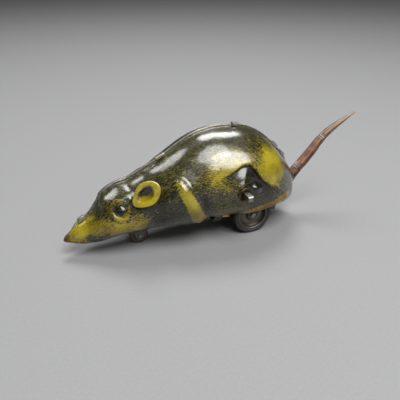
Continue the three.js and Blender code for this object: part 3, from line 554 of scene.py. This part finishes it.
def edge_wear(x, row, angle, station):
    """Bare tin along the flange and the raw lower edge."""
    if row < len(flange_steps):
        return 0.5 if row < 2 else 0.2
    left = (station.edge - angle) * station.width
    return 0.9 * bump(left, 1.0) 


def cut_round(bm, centre, direction, radius, keep):
    """Opens a round hole in a skin and draws its rim out to the radius."""
    def off(place):
        away = place - centre
        return away - direction * away.dot(direction)

    inside = []
    for face in bm.faces:
        middle = face.calc_center_median()
        if keep(middle) and off(middle).length < radius:
            inside.append(face)
    bmesh.ops.delete(bm, geom=inside, context="FACES")
    for v in bm.verts:
        if v.is_boundary and keep(v.co) and off(v.co).length < radius * 1.25:
            away = off(v.co)
            if 0.7 * radius < away.length:
                v.co += away.normalized() * (radius - away.length)


def make_half(name, side):
    rows = len(flange_steps) - 1 + skin_steps
    bm = bmesh.new()
    bmesh.ops.create_grid(bm, x_segments=stations, y_segments=rows, size=0.5)
    print_and_shade_layer = bm.verts.layers.float_color.new("print")
    bare_layer = bm.verts.layers.float.new("bare")
    lines = [Station(station_x(i / stations)) for i in range(stations + 1)]
    columns = [[None] * (rows + 1) for _ in range(stations + 1)]
    for v in bm.verts:
        column = round((v.co.x + 0.5) * stations)
        columns[column][round((v.co.y + 0.5) * rows)] = v
    girth_of, lift_of = {}, {}
    for station, column in zip(lines, columns):
        girth = 0
        before = None
        for row, v in enumerate(column):
            place, angle = half_point(station, row)
            girth += (place - before).length if before is not None else 0
            before = place.copy()
            girth_of[v] = girth
            v.co = Vector((place.x, side * place.y, place.z))
            # The print channels, with the painted shade of the fold already taken into them.
            v[print_and_shade_layer] = (yellow(place.x, place.z), hair(place.x, place.z), warm(place.x, place.z), 1)
            v[bare_layer] = edge_wear(place.x, row, angle, station)
            if row >= len(flange_steps):
                near_seam = step(0, 4, row - len(flange_steps))
                lift_of[v] = relief(place.x, place.z) * near_seam * station.narrow
    bm.normal_update()
    outwards = columns[stations // 2][rows // 2].normal.y * side
    if outwards < 0:
        bmesh.ops.reverse_faces(bm, faces=bm.faces)
        bm.normal_update()
    hair_layer = bm.loops.layers.uv.new("hair")
    for face in bm.faces:
        for loop in face.loops:
            x, girth = loop.vert.co.x, girth_of[loop.vert]
            loop[hair_layer].uv = (x + 0.3 * girth, girth - 0.3 * x)
    moves = [(v, v.normal * lift) for v, lift in lift_of.items()]
    for v, move in moves:
        v.co += move
    bmesh.ops.remove_doubles(bm, verts=bm.verts, dist=0.004)
    cut_round(bm, tail_start, tail_out, tail_hole, lambda place: place.x > 110)
    if side < 0:
        cut_round(bm, Vector((stem_at.x, 0, stem_at.z)), Vector((0, 1, 0)), stem_hole, lambda place: True)
    for v in bm.verts:
        v.co = at(*v.co)
    mesh = bpy.data.meshes.new(name)
    bm.to_mesh(mesh)
    bm.free()
    mesh.shade_smooth()
    half = bpy.data.objects.new(name, mesh)
    bpy.context.collection.objects.link(half)
    mesh.materials.append(printed_tin_and_shade)
    mesh.materials.append(inside_tin)
    wall = half.modifiers.new("wall", "SOLIDIFY")
    wall.thickness = tin * MM
    wall.offset = -1
    wall.material_offset = 1
    wall.material_offset_rim = 1
    return half


for name, side in (("left", -1), ("right", 1)):
    half = make_half(name + "_tin_half", side)
    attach(half, "body")
    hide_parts(name + "_body_shell")


# ---- seam tabs --------------------------------------------------------------------------------------------
# Five short tabs of the right half's sheet, folded over the left half's flange and hammered flat. Their
# print is rubbed through, so they show mostly bare tin.


def finish_piece(name, bm, material, body, replaced=(), smooth=True):
    """A bmesh made into an object that rides on a body."""
    mesh = bpy.data.meshes.new(name)
    bm.to_mesh(mesh)
    bm.free()
    if smooth:
        mesh.shade_smooth()
    mesh.materials.append(material)
    piece = bpy.data.objects.new(name, mesh)
    bpy.context.collection.objects.link(piece)
    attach(piece, body)
    if replaced:
        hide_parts(*replaced)
    return piece


rubbed_tin = make_metal("rubbed_tin", (0.40, 0.37, 0.29, 1), (0.06, 0.055, 0.03, 1), 0.3, 0.9)
tab_thickness = 0.4
tab_places = [(9.6, 3.6), (48, 4.4), (84.5, 3), (106.5, 4), (111, 3.2)]


def make_tab(x, width):
    station = Station(x)
    rise = eased(top_line, x + 0.3) - eased(top_line, x - 0.3)
    up = Vector((-rise, 0, 0.6)).normalized()
    along = Vector((up.z, 0, -up.x))
    outer = seam + flange_thickness + tab_thickness / 2
    top = flange_height + 0.3 + tab_thickness / 2
    corner = 0.2
    folded = [(outer, 0.1), (outer, top - corner), (outer - corner, top), (corner - outer, top)]
    folded += [(-outer - 0.1, top - corner), (-outer - 0.15, 0.35)]
    bm = bmesh.new()
    rib = []
    for out, height in folded:
        place = station.skin(0) + up * height - along * (width / 2)
        rib.append(bm.verts.new(at(place.x, out, place.z)))
    edges = [bm.edges.new(pair) for pair in zip(rib, rib[1:])]
    made = bmesh.ops.extrude_edge_only(bm, edges=edges)
    swept = [v for v in made["geom"] if isinstance(v, bmesh.types.BMVert)]
    bmesh.ops.translate(bm, verts=swept, vec=along * width * MM)
    bmesh.ops.subdivide_edges(bm, edges=bm.edges[:], cuts=2, use_grid_fill=True)
    bmesh.ops.recalc_face_normals(bm, faces=bm.faces)
    return bm


for number, (x, width) in enumerate(tab_places):
    tab = finish_piece(f"seam_tab_{number + 1}", make_tab(x, width), rubbed_tin, "body")
    wall = tab.modifiers.new("wall", "SOLIDIFY")
    wall.thickness = tab_thickness * MM
    wall.offset = 0
    soft = tab.modifiers.new("soft", "BEVEL")
    soft.width = 0.12 * MM
    soft.segments = 2


# ---- ears -------------------------------------------------------------------------------------------------
# Each ear is a tin cup with a rolled rim, printed yellow and riveted on by its root behind the brow. Its
# hollow is darkened almost to black as painted shade inside the cup.

ear_length = 15.0
ear_breadth = 9.5
ear_depth = 3.0
ear_rim = 0.62
ear_x = 31.5
ear_clearance = 0.9
# Each ear's side, the angle of its root, its long way and the way it faces, drawn for the left side. The
# left ear stands up, and the right one has been bent out and down.
ears = [
    ("left", -1, 62, Vector((0.62, -0.36, 0.7)), Vector((-0.5, -0.8, 0.1))),
    ("right", 1, 78, Vector((0.75, -0.66, 0)), Vector((-0.2, -0.9, 0.2))),
]


def skin_and_normal(x, angle):
    """A point of the left flank and the direction straight out of it."""
    place = Station(x).skin(angle)
    lengthwise = Station(x + 0.3).skin(angle) - Station(x - 0.3).skin(angle)
    around = Station(x).skin(angle + 0.03) - Station(x).skin(angle - 0.03)
    out = lengthwise.cross(around).normalized()
    return Vector((place.x, -place.y, place.z)), Vector((out.x, -out.y, out.z))


def make_ear_tin():
    material, tree, shader = new_material("litho_ear")
    hollow_shade = node(tree, "ShaderNodeAttribute", attribute_name="hollow_shade").outputs["Fac"]
    place = object_place(tree)
    cloud = noise(tree, place, 420.0, 4.0, 0.6)
    edge = plus(tree, hollow_shade, times(tree, less(tree, cloud, 0.5), 0.7))
    warmth = ramp(tree, noise(tree, place, 260.0, 3.0), 0.35, 0.7)
    yellows = mix(tree, warmth, (0.66, 0.52, 0.02, 1), (0.40, 0.28, 0.010, 1))
    # Painted shade: the cup's hollow goes almost black, standing in for the shadow inside it.
    colour = mix(tree, ramp(tree, edge, 0.3, 0.75), yellows, (0.012, 0.007, 0.003, 1))
    used = wear(tree, 0.7)
    colour = mix(tree, times(tree, used["Scratches"], 0.5), colour, bare_tin)
    tree.links.new(colour, shader.inputs["Base Color"])
    rough = plus(tree, 0.28, times(tree, used["Patches"], 0.15))
    tree.links.new(rough, shader.inputs["Roughness"])
    shader.inputs["Coat Weight"].default_value = 1.0
    shader.inputs["Coat Roughness"].default_value = 0.08
    bumped(tree, shader, plus(tree, cloud, used["Height"]), 0.00012, 0.6)
    return material


ear_tin = make_ear_tin()


def make_ear(side, root_angle, long_way, faces):
    """A profile spun round the cup's axis, then drawn out to the ear's oval and set on its root."""
    foot, out = skin_and_normal(ear_x, math.radians(root_angle))
    root = foot + out * ear_clearance
    ear_long = long_way.normalized()
    ear_up = faces.cross(ear_long).normalized()
    ear_facing = ear_long.cross(ear_up)
    bm = bmesh.new()
    half = 0.22
    inner = [(share, ear_depth * (share**2.4 - 1) + half) for share in (0.0, 0.2, 0.4, 0.6, 0.78, 0.9, 0.97)]
    outer = [(share, ear_depth * (share**2.4 - 1) - half) for share in (0.97, 0.9, 0.78, 0.6, 0.4, 0.2, 0.0)]
    rim = []
    for turn in range(9):
        angle = math.radians(150 - turn * 35)
        rim.append((1 + ear_rim * math.cos(angle), ear_rim * math.sin(angle)))
    profile = [bm.verts.new((radius, 0, height)) for radius, height in inner + rim + outer]
    edges = [bm.edges.new(pair) for pair in zip(profile, profile[1:])]
    bmesh.ops.spin(
        bm, geom=profile + edges, cent=(0, 0, 0), axis=(0, 0, 1), angle=2 * math.pi, steps=64, use_merge=True
    )
    bmesh.ops.remove_doubles(bm, verts=bm.verts, dist=1e-5)
    hollow_shade_layer = bm.verts.layers.float.new("hollow_shade")
    for v in bm.verts:
        radius = math.hypot(v.co.x, v.co.y)
        cosine, sine = (v.co.x / radius, v.co.y / radius) if radius > 1e-6 else (1, 0)
        share, extra = min(1, radius), max(0, radius - 1)
        long = ear_length / 2 * (1 + share * cosine) + extra * cosine
        narrow = 0.66 + 0.34 * step(-0.1, 0.62, long / ear_length)
        across = (ear_breadth / 2 * share + extra) * sine * narrow
        curl = 0.9 * share * share * max(0, -sine) ** 2
        inside = v.co.z > ear_depth * (share**2.4 - 1) and radius < 0.98
        # The dark patch in the cup is painted shade.
        from_hollow = math.hypot((long / ear_length - 0.55) / 0.42, (across / ear_breadth - 0.12) / 0.3)
        dark = bump(from_hollow, 1) ** 0.7
        v[hollow_shade_layer] = 1.5 * dark if inside else 0.0
        place = root + ear_long * long + ear_up * across + ear_facing * (v.co.z + curl)
        v.co = at(place.x, side * -place.y, place.z)
    bmesh.ops.recalc_face_normals(bm, faces=bm.faces)
    return bm


for name, side, root_angle, long_way, faces in ears:
    cup = make_ear(side, root_angle, long_way, faces)
    ear = finish_piece(name + "_tin_ear", cup, ear_tin, "body", [name + "_ear"])
    round_off = ear.modifiers.new("round", "SUBSURF")
    round_off.levels = 1
    round_off.render_levels = 1


# ---- tail -------------------------------------------------------------------------------------------------
# The tail is a close-wound tapered spring of copper-washed wire. Its turns open where it bends, so it is
# made as two lengths of one wire that meet in the middle piece, each running through one bend of its path.

tail_path = [
    (0, 0), (2.4, 3.4), (7.9, 9.2), (13.3, 15.2), (15.6, 18.3), (20.8, 23.1), (30, 28.6), (36.5, 31.9),
]
tail_points = [tail_start + Vector((x, 0, z)) for x, z in tail_path]
tail_root_radius = 2.8
tail_tip_radius = 0.5
tail_taper = 2.4
tail_bends = [8.3, 28]
tail_inside = 1.2


def tail_curve():
    """Points close together along a smooth line through the tail's points."""
    first = tail_points[0] * 2 - tail_points[1]
    last = tail_points[-1] * 2 - tail_points[-2]
    line = [first, *tail_points, last]
    places = []
    for i in range(1, len(line) - 2):
        a, b, c, d = line[i - 1 : i + 3]
        before, span, after = ((q - p).length ** 0.5 for p, q in ((a, b), (b, c), (c, d)))
        leave = ((b - a) / before - (c - a) / (before + span) + (c - b) / span) * span
        arrive = ((c - b) / span - (d - b) / (span + after) + (d - c) / after) * span
        for k in range(60):
            t = k / 60
            place = b * (2 * t**3 - 3 * t**2 + 1) + c * (3 * t**2 - 2 * t**3)
            places.append(place + leave * (t**3 - 2 * t**2 + t) + arrive * (t**3 - t**2))
    return places + [tail_points[-1]]


tail_line = tail_curve()
tail_lengths = [0.0]
for before, after in zip(tail_line, tail_line[1:]):
    tail_lengths.append(tail_lengths[-1] + (after - before).length)
tail_length = tail_lengths[-1]


def tail_at(length):
    """The place and direction at a length along the tail."""
    inside = min(tail_length, max(0, length))
    i = 0
    while i < len(tail_lengths) - 2 and tail_lengths[i + 1] < inside:
        i += 1
    share = (inside - tail_lengths[i]) / (tail_lengths[i + 1] - tail_lengths[i])
    place = tail_line[i].lerp(tail_line[i + 1], share)
    direction = (tail_line[i + 1] - tail_line[i]).normalized()
    return place + direction * min(0, length), direction


def make_wire_metal():
    material, tree, shader = new_material("tail_coil")
    place = object_place(tree)
    along = node(tree, "ShaderNodeAttribute", attribute_name="along").outputs["Fac"]
    used = wear(tree, 0.8)
    cloud = noise(tree, place, 330.0, 4.0, 0.6)
    red = mix(tree, ramp(tree, cloud, 0.35, 0.68), (0.30, 0.15, 0.10, 1), (0.15, 0.07, 0.045, 1))
    tip = mix(tree, cloud, (0.42, 0.36, 0.27, 1), (0.30, 0.21, 0.15, 1))
    base = mix(tree, cloud, (0.04, 0.022, 0.018, 1), (0.12, 0.055, 0.038, 1))
    colour = mix(tree, ramp(tree, along, 0.35, 0.95), red, tip)
    colour = mix(tree, ramp(tree, along, 0.0, 0.16, 1.0, 0.0), colour, base)
    tree.links.new(mix(tree, used["Scratches"], colour, (0.55, 0.36, 0.26, 1)), shader.inputs["Base Color"])
    shader.inputs["Metallic"].default_value = 0.75
    spread = times(tree, used["Patches"], 0.25)
    tree.links.new(plus(tree, 0.36, spread), shader.inputs["Roughness"])
    bumped(tree, shader, used["Height"], 0.00004, 0.6)
    return material


wire_metal = make_wire_metal()


def make_coil(name, start, end):
    """A length of the wound wire, from one length along the tail to another."""
    turn_steps = 18
    places = []
    length, angle = start, 0.0
    while length < end:
        place, direction = tail_at(length)
        lift = Vector((-direction.z, 0, direction.x))
        share = max(0, length) / tail_length
        radius = tail_root_radius + (tail_tip_radius - tail_root_radius) * share**tail_taper
        wire = 0.42 - 0.14 * share
        opened = sum(bump(abs(length - bend), 2.6) for bend in tail_bends)
        pitch = 2 * wire * (1.04 + 0.75 * opened) + 0.25 * bump(length, 5)
        reach = radius - wire
        across = Vector((0, 1, 0)) * math.sin(angle) + lift * math.cos(angle)
        places.append((place + across * reach, wire, share))
        angle += 2 * math.pi / turn_steps
        length += pitch / turn_steps
    curve = bpy.data.curves.new(name, "CURVE")
    curve.dimensions = "3D"
    curve.bevel_depth = MM
    curve.bevel_resolution = 2
    curve.use_fill_caps = True
    spline = curve.splines.new("POLY")
    spline.points.add(len(places) - 1)
    for point, (place, wire, share) in zip(spline.points, places):
        point.co = (*at(*place), 1)
        point.radius = wire
    drawn = bpy.data.objects.new(name + "_curve", curve)
    bpy.context.collection.objects.link(drawn)
    mesh = bpy.data.meshes.new_from_object(drawn)
    mesh.name = name
    bpy.data.objects.remove(drawn)
    sides = 2 * (curve.bevel_resolution + 2)
    shares = mesh.attributes.new("along", "FLOAT", "POINT")
    for i, v in enumerate(mesh.vertices):
        shares.data[i].value = places[min(len(places) - 1, i // sides)][2]
    mesh.materials.clear()
    mesh.materials.append(wire_metal)
    mesh.shade_smooth()
    coil = bpy.data.objects.new(name, mesh)
    bpy.context.collection.objects.link(coil)
    return coil


def bend_across(coil):
    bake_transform(coil)


tail_joint = (tail_bends[0] + tail_bends[1]) / 2
lower_coil = make_coil("tail_coil_lower", -tail_inside, tail_joint)
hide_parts("tail_spring_root", "tail_spring_middle")
bend_across(lower_coil)
upper_coil = make_coil("tail_coil_upper", tail_joint, tail_length)
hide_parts("tail_spring_tip")
bend_across(upper_coil)


# ---- the movement -----------------------------------------------------------------------------------------
# A plain brass going train of pressed plates, turned pillars and cut pinions. Its brass has tarnished, the
# steel shows oil stains, and the mainspring and click spring are blued.

brass = make_metal("brass", (0.56, 0.38, 0.13, 1), (0.19, 0.115, 0.035, 1), 0.3)
steel = make_metal("steel", (0.27, 0.27, 0.24, 1), (0.10, 0.09, 0.07, 1), 0.38)
blued_steel = make_metal("blued_steel", (0.055, 0.085, 0.19, 1), (0.09, 0.06, 0.05, 1), 0.26)
# The tin of the straps, wheels and fork is coloured near black: painted shade for their place under the
# body.
tinplate = make_metal("tinplate", (0.13, 0.12, 0.10, 1), (0.04, 0.03, 0.02, 1), 0.45)
dark_brass = make_metal("dark_brass", (0.07, 0.06, 0.035, 1), (0.02, 0.016, 0.01, 1), 0.42)


def paint(material, *names):
    for name in names:
        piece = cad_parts[name]
        for slot in piece.material_slots:
            slot.material = material


paint(brass, "left_side_plate", "right_side_plate", "spring_barrel", "barrel_cover", "intermediate_wheel")
paint(brass, "click_rivet", "fork_rivet")
paint(steel, "pillar_front_top", "pillar_rear_top", "pillar_front_low", "pillar_rear_low")
paint(steel, "ratchet_wheel", "click", "intermediate_arbor", "drive_pinion", "drive_axle", "roller_axle")
paint(blued_steel, "mainspring", "click_spring")
# The straps' tin is near black as painted shade under the body.
paint(tinplate, "front_strap", "rear_strap")


def make_wood():
    material, tree, shader = new_material("peg_wood")
    place = object_place(tree)
    rings = noise(tree, stretched(tree, place, (300, 300, 2200)), 1.0, 4.0, 0.6, 0.6)
    colour = mix(tree, rings, (0.30, 0.15, 0.075, 1), (0.16, 0.07, 0.03, 1))
    tree.links.new(colour, shader.inputs["Base Color"])
    shader.inputs["Roughness"].default_value = 0.6
    bumped(tree, shader, rings, 0.00006, 0.7)
    return material


paint(make_wood(), "tail_peg")


# ---- winding stem and its eyelet --------------------------------------------------------------------------
# The arbor's square end stands out of the flank for a loose key. A turned brass eyelet lines its hole.

eyelet_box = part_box("stem_eyelet")


def spun(profile, centre, axis, steps=64):
    """A profile of radius and way along the axis, in millimetres, spun into a closed turned piece."""
    bm = bmesh.new()
    points = [bm.verts.new((radius * MM, 0, way * MM)) for radius, way in profile]
    edges = [bm.edges.new(pair) for pair in zip(points, points[1:])]
    if (Vector(profile[0]) - Vector(profile[-1])).length > 0.01 and profile[0][0] > 0.01:
        edges.append(bm.edges.new((points[-1], points[0])))
    full = 2 * math.pi
    bmesh.ops.spin(
        bm, geom=points + edges, cent=(0, 0, 0), axis=(0, 0, 1), angle=full, steps=steps, use_merge=True
    )
    bmesh.ops.remove_doubles(bm, verts=bm.verts, dist=1e-7)
    bmesh.ops.recalc_face_normals(bm, faces=bm.faces)
    turn = Vector((0, 0, 1)).rotation_difference(Vector(axis)).to_matrix().to_4x4()
    bmesh.ops.transform(bm, matrix=Matrix.Translation(at(*centre)) @ turn, verts=bm.verts)
    return bm


def arc(centre, radius, start, end, count):
    """Points of an arc in a profile."""
    angles = [math.radians(start + (end - start) * i / count) for i in range(count + 1)]
    return [(centre[0] + radius * math.cos(a), centre[1] + radius * math.sin(a)) for a in angles]


rim_out = (seam_y - eyelet_box[0].y) / MM
rim_in = (seam_y - eyelet_box[1].y) / MM
rim_radius = (eyelet_box[1].x - eyelet_box[0].x) / 2 / MM
bore = rim_radius - 1.35
lip = [(bore, rim_in), (bore, rim_out - 0.3)]
lip += arc((bore + 0.3, rim_out - 0.3), 0.3, 180, 90, 5)
lip += arc((rim_radius - 0.25, rim_out - 0.25), 0.25, 90, -60, 6)
lip += [(bore + 0.35, rim_out - 0.42), (bore + 0.35, rim_in)]
eyelet = spun(lip, (stem_at.x, 0, stem_at.z), (0, -1, 0))
finish_piece("brass_eyelet", eyelet, dark_brass, "body", ["stem_eyelet"])

paint(steel, "winding_arbor")


# ---- drive wheels and tyres -------------------------------------------------------------------------------
# Tin wheels, pressed with a dished web, a rolled rim and a boss crimped on the axle. Each carries a
# moulded black rubber tyre with fine cross ribs. The wheels' tin is coloured near black as painted shade
# under the body.


def make_rubber():
    material, tree, shader = new_material("tyre_rubber")
    used = wear(tree, 0.5)
    colour = mix(tree, used["Patches"], (0.012, 0.011, 0.010, 1), (0.03, 0.027, 0.024, 1))
    tree.links.new(colour, shader.inputs["Base Color"])
    rough = plus(tree, 0.62, times(tree, used["Grain"], 0.25))
    tree.links.new(rough, shader.inputs["Roughness"])
    bumped(tree, shader, used["Grain"], 0.0001, 0.6)
    return material


rubber = make_rubber()


def make_tyre(side, low, high):
    """A rounded section spun round the axle, with every other step of the tread pressed in."""
    inner, outer = 8.15, 10.0
    round_off = 0.7
    steps = 96
    section = [(inner, low), (outer - round_off, low)]
    section += arc((outer - round_off, low + round_off), round_off, -90, 0, 4)
    section += arc((outer - round_off, high - round_off), round_off, 0, 90, 4)
    section += [(inner, high)]
    bm = spun(section, (axle_at.x, 0, axle_at.z), (0, side, 0), steps)
    centre = at(axle_at.x, 0, axle_at.z)
    for v in bm.verts:
        away = Vector((v.co.x - centre.x, 0, v.co.z - centre.z))
        rib = round(math.atan2(away.z, away.x) / (2 * math.pi) * steps)
        if away.length > (outer - 0.35) * MM and rib % 2:
            v.co -= away.normalized() * 0.22 * MM
    return bm


for name, side in (("left", -1), ("right", 1)):
    tyre_low, tyre_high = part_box(name + "_tyre")
    low = min(abs(tyre_low.y - seam_y), abs(tyre_high.y - seam_y)) / MM
    high = max(abs(tyre_low.y - seam_y), abs(tyre_high.y - seam_y)) / MM
    finish_piece(name + "_rubber_tyre", make_tyre(side, low, high), rubber, "drive", [name + "_tyre"])
    web = (low + high) / 2
    wheel = [(1.4, low), (2.5, low), (2.7, low + 0.9), (3.4, web - 0.5), (5.4, web - 0.2), (6.9, web - 0.9)]
    wheel += [(7.2, low + 0.2), (8, low + 0.1), (8, high - 0.1)]
    wheel += arc((7.5, high - 0.4), 0.4, 60, 200, 6)
    wheel += [(6.9, web - 0.4), (5.4, web + 0.3), (3.4, web), (2.7, high - 0.5), (2.3, high), (1.4, high)]
    bm = spun(wheel, (axle_at.x, 0, axle_at.z), (0, side, 0))
    hub = name + "_drive_wheel"
    pressed = finish_piece(name + "_pressed_wheel", bm, tinplate, "drive", [hub])
    crisp = pressed.modifiers.new("crisp", "BEVEL")
    crisp.width = 0.12 * MM
    crisp.segments = 2


# ---- front fork and roller --------------------------------------------------------------------------------
# A folded tin fork under the throat, its long tongue riveted to the front strap. It holds a small turned
# wooden roller, stained red-brown and grimed by the floor. The fork's tin is coloured near black as
# painted shade under the throat.


def make_roller_wood():
    material, tree, shader = new_material("roller_wood")
    place = object_place(tree)
    used = wear(tree, 0.6)
    grain = noise(tree, stretched(tree, place, (1800, 260, 1800)), 1.0, 4.0, 0.62, 0.7)
    colour = mix(tree, grain, (0.16, 0.09, 0.05, 1), (0.07, 0.035, 0.02, 1))
    colour = mix(tree, used["Patches"], colour, (0.05, 0.035, 0.028, 1))
    tree.links.new(colour, shader.inputs["Base Color"])
    shader.inputs["Roughness"].default_value = 0.5
    bumped(tree, shader, plus(tree, grain, used["Height"]), 0.00008, 0.7)
    return material


roller_low, roller_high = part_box("front_roller")
roller_half = (roller_high.y - roller_low.y) / 2 / MM
roller_radius = (roller_high.z - roller_low.z) / 2 / MM
barrel_shape = [(1.0, -roller_half), (roller_radius - 0.7, -roller_half)]
barrel_shape += arc((roller_radius - 0.7, 0.7 - roller_half), 0.7, -90, 0, 5)
groove = roller_radius - 0.15
barrel_shape += [(roller_radius, -0.25), (groove, -0.12), (groove, 0.12), (roller_radius, 0.25)]
barrel_shape += arc((roller_radius - 0.7, roller_half - 0.7), 0.7, 0, 90, 5)
barrel_shape += [(1.0, roller_half)]
finish_piece(
    "turned_roller", spun(barrel_shape, (roller_at.x, 0, roller_at.z), (0, 1, 0)), make_roller_wood(),
    "roller", ["front_roller"],
)
paint(tinplate, "roller_fork")


# ---- floor, lights and camera -----------------------------------------------------------------------------
# A plain pale sheet under soft studio boxes. The camera looks down on the mouse's left side from a little
# before it, and the boxes stand where their reflections lie on the haunch, the back and the brow.

floor_mesh = bpy.data.meshes.new("floor")
floor_bm = bmesh.new()
bmesh.ops.create_grid(floor_bm, x_segments=1, y_segments=1, size=6)
floor_bm.to_mesh(floor_mesh)
floor_bm.free()
floor = bpy.data.objects.new("floor", floor_mesh)
bpy.context.collection.objects.link(floor)
floor_material, floor_tree, floor_shader = new_material("floor_paper")
floor_shader.inputs["Roughness"].default_value = 0.9
paper = noise(floor_tree, object_place(floor_tree), 900.0, 3.0)
paper_colour = mix(floor_tree, paper, (0.30, 0.30, 0.305, 1), (0.35, 0.35, 0.355, 1))
floor_tree.links.new(paper_colour, floor_shader.inputs["Base Color"])
floor_mesh.materials.append(floor_material)

target = at(62, 0, 27)


def towards(azimuth, elevation):
    """A direction: azimuth 0 faces the mouse's left side and grows towards the tail."""
    a, e = math.radians(azimuth), math.radians(elevation)
    return Vector((math.sin(a) * math.cos(e), -math.cos(a) * math.cos(e), math.sin(e)))


def softbox(name, azimuth, elevation, distance, width, height, power, lights_floor=True):
    light = bpy.data.lights.new(name, "AREA")
    light.shape = "ELLIPSE"
    light.size = width
    light.size_y = height
    light.energy = power
    box = bpy.data.objects.new(name, light)
    box.location = target + towards(azimuth, elevation) * distance
    box.rotation_euler = towards(azimuth, elevation).to_track_quat("Z", "Y").to_euler()
    box.visible_diffuse = lights_floor
    bpy.context.collection.objects.link(box)
    return box


softbox("key_box", 8, 62, 0.9, 0.6, 0.6, 8)
softbox("back_box", 165, 64, 0.9, 0.4, 0.4, 5)
softbox("key_reflection", 22, 38, 0.6, 0.40, 0.36, 4, lights_floor=False)
softbox("rear_reflection", 130, 58, 0.6, 0.18, 0.24, 1.5, lights_floor=False)
softbox("front_reflection", -128, 46, 0.6, 0.2, 0.3, 1.2, lights_floor=False)

world = bpy.data.worlds.new("studio")
world.use_nodes = True
world.node_tree.nodes["Background"].inputs["Color"].default_value = (1, 1, 1, 1)
world.node_tree.nodes["Background"].inputs["Strength"].default_value = 0.07
bpy.context.scene.world = world

camera_data = bpy.data.cameras.new("camera")
camera_data.lens = 43.2
camera_data.sensor_width = 36
camera_data.clip_start = 0.01
camera = bpy.data.objects.new("camera", camera_data)
heading = Vector((0.3756, 0.9268, 0))
pitch = math.radians(28)
forward = heading * math.cos(pitch) - Vector((0, 0, 1)) * math.sin(pitch)
right = forward.cross(Vector((0, 0, 1))).normalized()
upright = right.cross(forward)
axes = Matrix((right, upright, -forward)).transposed().to_4x4()
camera.matrix_world = Matrix.Translation(at(-11.7, -195, 128)) @ axes
bpy.context.collection.objects.link(camera)
bpy.context.scene.camera = camera
bpy.context.scene.view_settings.view_transform = "Standard"
